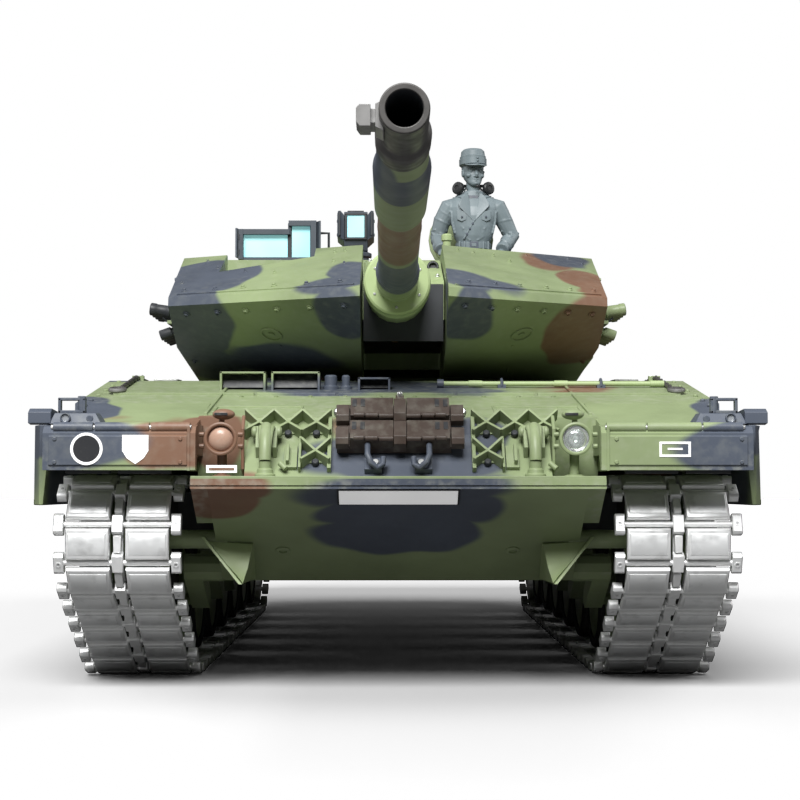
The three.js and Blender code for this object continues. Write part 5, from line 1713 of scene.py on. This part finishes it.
def jacket():
    coat = Part()
    rows = [
        (152, 8.4, 6.2, 0), (160, 8.4, 6.2, 0), (168, 8.0, 6.0, 0), (171, 7.5, 5.7, 0.2),
        (174.4, 7.6, 5.8, 0.2), (177, 8.8, 6.5, 0.3),
        (181, 9.6, 6.9, 0.4), (186, 10.8, 7.0, 0.4), (190, 11.6, 6.5, 0.1), (193, 11.2, 5.6, -0.3),
        (195.2, 8.6, 4.7, -0.5), (196.8, 5.2, 4.2, -0.3), (198, 3.6, 3.7, 0),
    ]
    coat.rings([section(*row) for row in rows])
    for side, elbow, hand in ((-1, -16, -14.2), (1, 17.5, 12.2)):
        shoulder = spot_on(side * 10.8, -0.2, 190.6)
        middle = spot_on(side * 14.2, -0.6, 184)
        bend = spot_on(elbow, -1, 177)
        wrist = spot_on(hand * 1.02, 6.4, 170.8)
        limb(coat, [spot_on(side * 7.5, -0.3, 191.6), shoulder, middle, bend,
            bend.lerp(wrist, 0.45), wrist], [3.6, 4.3, 3.9, 3.5, 3.3, 2.6])
        limb(coat, [bend.lerp(wrist, 0.86), wrist + Vector((0, -0.5, -0.3))], [3.1, 2.95])
        for k, (a, b, share) in enumerate((
            (shoulder, middle, 0.5), (shoulder, middle, 0.95), (middle, bend, 0.35),
            (middle, bend, 0.62), (middle, bend, 0.9),
            (bend, wrist, 0.16), (bend, wrist, 0.34), (bend, wrist, 0.55), (bend, wrist, 0.74))):
            centre = a.lerp(b, share)
            way = (b - a).normalized()
            tilt = Vector((random.uniform(-0.5, 0.5), random.uniform(-0.4, 0.4),
                random.uniform(-0.5, 0.5)))
            way = (way + tilt).normalized()
            across = way.orthogonal().normalized()
            third = way.cross(across)
            r = 3.75 - k * 0.06
            start = random.uniform(0, math.tau)
            arc = [centre + (across * math.cos(t) + third * math.sin(t)) * r
                for t in [start + j * 0.32 for j in range(12)]]
            fold(coat, arc, 0.5)
    for side in (-1, 1):
        for k in range(4):
            z = 175.6 + k * 1.7
            fold(coat, [spot_on(side * (1.6 + k), 6.2 + k * 0.16, z - 0.9),
                spot_on(side * (4 + k * 0.6), 6.1, z + 0.8), spot_on(side * (6.6 + k * 0.5), 4.3,
                z + 2.4)], 0.34)
        fold(coat, [spot_on(side * 8.6, 4.2, 178), spot_on(side * 9.8, 4.2, 183),
            spot_on(side * 10.2, 4.2, 188)], 0.4)
        fold(coat, [spot_on(side * 8.4, -4.6, 178), spot_on(side * 6, -6.2, 184),
            spot_on(side * 7, -5.8, 190)], 0.45)
    coat.finish("crew_jacket", [FIGURE], "turret", 0, ["crew_figure"], melt=0.32)

    trim = Part()
    for side in (-1, 1):
        lapel = [(0.5, 7.0, 183.6), (6.4, 7.2, 189.6), (7.0, 6.7, 191.0), (4.9, 6.0, 194.8),
            (2.7, 4.6, 196.8), (2.2, 5.4, 193.5)]
        outer = [spot_on(side * u, f + 0.55, z) for u, f, z in lapel]
        inner = [spot_on(side * u, f - 0.9, z) for u, f, z in lapel]
        trim.convex(outer + inner)
        collar = [(2.6, 4.4, 195.6), (5.6, 4.8, 194.0), (8.2, 2.4, 194.9), (7.6, -3.6, 196.2),
            (4.2, -4.8, 198.9), (3.4, 0, 199.4), (2.8, 3.4, 198.2)]
        for (a, b) in zip(collar, collar[1:]):
            trim.convex([spot_on(side * p[0] * k, p[1] * k, p[2] + h) for p in (a, b) for k,
                h in ((1.0, 0.5), (0.93, -0.7))])
        trim.convex([spot_on(side * u, f, z) for u, z in ((3.4, 187.6), (7.6, 188.4), (7.6, 184.2),
            (5.5, 183.2), (3.4, 184)) for f in (6.0, 7.35 if u < 7 else 6.7)])
        trim.bolt(spot_on(side * 5.4, 7.5, 185.2), FORWARD, 0.5, 0.4, 1, 10)
        strap = [(8.0, 193.9), (12.2, 192.5), (12.0, 191.4), (7.6, 192.9)]
        trim.convex([spot_on(side * u, f, z + h) for u, z in strap for f,
            h in ((-1.2, 0.9), (1.4, 0.9), (-1.2, 0.1), (1.4, 0.1))])
        trim.bolt(spot_on(side * 8.8, 0.2, 194.8), UP, 0.5, 0.4, 1, 10)
    trim.convex([spot_on(u, f, z) for u, z in ((-0.9, 183.4), (0.9, 183.4), (2.2, 195.4),
        (-2.2, 195.4)) for f in (3, 6.2 if z < 190 else 4.6)], 1)
    fly = [(0.4, 7.3, 184), (-4.6, 6.4, 175.4)]
    fold(trim, [spot_on(*p) for p in fly], 0.5)
    for k in range(3):
        trim.bolt(spot_on(-0.6 - k * 1.3, 7.4 - k * 0.28, 182.2 - k * 2.3), FORWARD, 0.55, 0.4, 1,
            10)
    trim.rings([section(z, w, d, 0.2) for z, w, d in ((171.2, 7.6, 5.9), (171.2, 8.1, 6.4),
        (174, 8.2, 6.5), (174, 7.7, 6.0))], 0)
    trim.convex([spot_on(u, f, z) for u in (-1.9, 1.9) for z in (171, 174.2) for f in (6.2, 7.2)],
        1)
    trim.convex([spot_on(u, f, z) for u in (-1.1, 1.1) for z in (171.8, 173.4) for f in (6.8, 7.5)],
        0)
    for side in (-1, 1):
        for u in (4.2, 6.4):
            trim.convex([spot_on(side * (u + i), f - abs(u) * 0.18, z) for i in (-0.4, 0.4)
                for z in (170.8, 174.4) for f in (5.2, 7.4)])
    trim.finish("crew_lapels_and_belt", [FIGURE, SLATE_PAINT], "turret", 0.22)


def crew_head():
    turn = math.radians(14)
    head = Part()

    def at(u, f, z):
        return spot_on(u, f, z, turn)

    def lump(u, f, z, ru, rf, rz):
        out = bmesh.ops.create_uvsphere(head.bm, u_segments=20, v_segments=14, radius=1)
        for v in out["verts"]:
            v.co = at(u + v.co.x * ru, f - v.co.y * rf, z + v.co.z * rz)

    profile = [
        (199.9, 1.5, 4.2, 2.0), (200.3, 2.1, 4.8, 0.6), (201.2, 2.9, 5.0, -1.2),
        (202.4, 3.5, 4.85, -3.2), (203.6, 4.0, 4.9, -4.8),
        (205.2, 4.45, 4.8, -5.8), (206.4, 4.6, 4.6, -6.3), (207.6, 4.75, 5.0, -6.6),
        (209, 4.85, 5.05, -6.8), (211.5, 4.8, 4.7, -6.6), (213, 4.2, 4.0, -6),
    ]
    head.rings([section(z, w, (front - back) / 2, (front + back) / 2, 32, turn, 2.25) for z, w,
        front, back in profile])
    for side in (-1, 1):
        lump(side * 1.9, 3.7, 206.3, 0.95, 0.85, 0.62)
        lump(side * 2.9, 3.2, 204.5, 1.3, 1.3, 1.1)
        lump(side * 4.75, -0.6, 205.9, 0.5, 1.2, 1.75)
        lump(side * 5.0, -0.2, 206.9, 0.45, 0.8, 0.6)
        lump(side * 0.7, 4.95, 204.0, 0.5, 0.6, 0.4)
        limb(head, [at(side * 0.9, 4.7, 207.45), at(side * 2.0, 4.65, 207.75),
            at(side * 3.2, 3.9, 207.4)], [0.3, 0.42, 0.25], 8)
        limb(head, [at(side * 1.1, 4.3, 206.55), at(side * 1.95, 4.5, 206.85),
            at(side * 2.8, 3.8, 206.55)], [0.14, 0.2, 0.14], 8)
    limb(head, [at(0, 4.3, 207.6), at(0, 4.9, 206.3), at(0, 5.6, 204.7), at(0, 5.4, 204.0),
        at(0, 4.6, 203.8)], [0.55, 0.6, 0.8, 0.6, 0.4], 12)
    limb(head, [at(-1.5, 4.2, 202.75), at(-0.6, 4.85, 202.9), at(0.6, 4.85, 202.9),
        at(1.5, 4.2, 202.75)], [0.16, 0.3, 0.3, 0.16], 8)
    limb(head, [at(-1.3, 4.3, 202.2), at(0, 4.85, 202.1), at(1.3, 4.3, 202.2)], [0.18, 0.38, 0.18],
        8)
    lump(0, 4.2, 200.9, 1.3, 0.95, 0.8)
    limb(head, [spot_on(0, -0.6, 194.6), spot_on(0, -0.3, 198), at(0, -0.4, 202)], [3.3, 2.95, 3.1],
        18)
    head.finish("crew_head", [FIGURE], "turret", 0, melt=0.14)

    cap = Part()
    rows = [(209.2, 5.2, 6.3, -0.4), (209.4, 5.5, 6.7, -0.4), (213.6, 5.75, 6.9, -0.5),
        (213.7, 5.4, 6.5, -0.5), (216.0, 5.1, 6.0, -0.6), (216.9, 4.2, 4.9, -0.7),
        (217.1, 2.4, 3, -0.8)]
    cap.rings([section(z, w, d, f, 28, turn, 2.15) for z, w, d, f in rows])
    flap = [(209.7, 5.65, 6.85, -0.4), (209.7, 6.0, 7.2, -0.4), (212.5, 6.05, 7.25, -0.45),
        (212.5, 5.6, 6.8, -0.45)]
    cap.rings([section(z, w, d, f, 28, turn, 2.15) for z, w, d, f in flap])
    outline = [(5.0 * math.cos(t), 4.4 + 4.3 * math.sin(t))
        for t in [math.pi * k / 14 for k in range(15)]]
    top = [at(u, f, 210.4 - (f - 4.4) * 0.32 - abs(u) * 0.13) for u, f in outline]
    under = [p - Vector((0, 0, 0.55)) for p in top]
    inner = [at(u * 0.96, 3.2, 210.4 - abs(u) * 0.13) for u, f in outline]
    inner_under = [p - Vector((0, 0, 0.55)) for p in inner]
    cap.rings([inner, top, under, inner_under], closed=False, capped=False)
    for a in (0, -1):
        cap.bm.faces.new([cap.bm.verts.new(p[a]) for p in (inner, top, under, inner_under)])
    cap.bolt(at(0, 6.9, 212.2), at(0, 1, 0) - at(0, 0, 0), 0.5, 0.4, 0, 12)
    cap.bolt(at(0, 7.0, 210.9), at(0, 1, 0) - at(0, 0, 0), 0.45, 0.4, 0, 12)
    bmesh.ops.recalc_face_normals(cap.bm, faces=cap.bm.faces[:])
    cap.finish("crew_cap", [FIGURE], "turret", 0.15)

    phones = Part()
    for side in (-1, 1):
        centre = spot_on(side * 6.9, 2.2, 199.0)
        facing = Vector((side * 0.55, -0.8, 0.1))
        phones.turned([(2.5, -1.3), (2.9, -0.8), (2.9, 0.5), (2.4, 1.1), (1.2, 1.3), (1.1, 0.9),
            (0, 0.9)], centre, facing, 20)
        phones.tube([centre + Vector((0, 0.4, 2.6)), centre + Vector((side * 0.7, 1.8, 2.6)),
            centre + Vector((side * 0.2, 3.6, 1.6))], 0.5, n=8)
    arc = [spot_on(7.4 * math.sin(a), -0.4 - 6.2 * math.cos(a) * (1 if abs(a) < 1.5 else 0.2),
        200.6 + 0.8 * math.cos(a)) for a in [-1.4 + k * 0.28 for k in range(11)]]
    phones.tube(arc, 0.75, n=8)
    phones.tube([spot_on(5, 3.4, 197), spot_on(3.6, 6.6, 197.6), spot_on(2.0, 7.6, 198.8)], 0.4,
        n=8)
    phones.ball(spot_on(1.6, 7.7, 199), (0.9, 0.7, 0.7), 0, 12)
    phones.finish("crew_headset", [HEADSET], "turret", 0.1)

    hands = Part()
    for side, u in ((-1, -14.2), (1, 12.2)):
        palm = spot_on(u, 8.6, 168.6)
        hands.ball(palm, (2.1, 2.5, 1.45), 0, 14)
        hands.ball(palm + Vector((0, 2.2, 0.9)), (1.9, 1.8, 1.6), 0, 12)
        for k in range(4):
            root = palm + Vector((-1.5 + k * 1.0, -1.6, 0.3))
            limb(hands, [root, root + Vector((0, -1.6, -0.3)), root + Vector((0, -2.4, -1.6))],
                [0.62, 0.58, 0.45], 8)
        thumb = palm + Vector((-side * 1.6, 0, 0))
        limb(hands, [thumb, thumb + Vector((-side * 0.9, -1.6, -0.2)),
            thumb + Vector((-side * 0.6, -2.6, -0.8))], [0.7, 0.6, 0.45], 8)
    hands.finish("crew_hands", [FIGURE], "turret", 0, melt=0.22)


jacket()
crew_head()


# ---- what is left of the CAD model ---------------------------------------------------------------
INSIDE = {
    "battery_pack": DARK_PLASTIC,
    "control_board": BOARD,
    "drive_gearboxes": DARK_PLASTIC,
}
for name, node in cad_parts.items():
    node.data.materials.clear()
    node.data.materials.append(INSIDE.get(name, GREEN_PAINT))
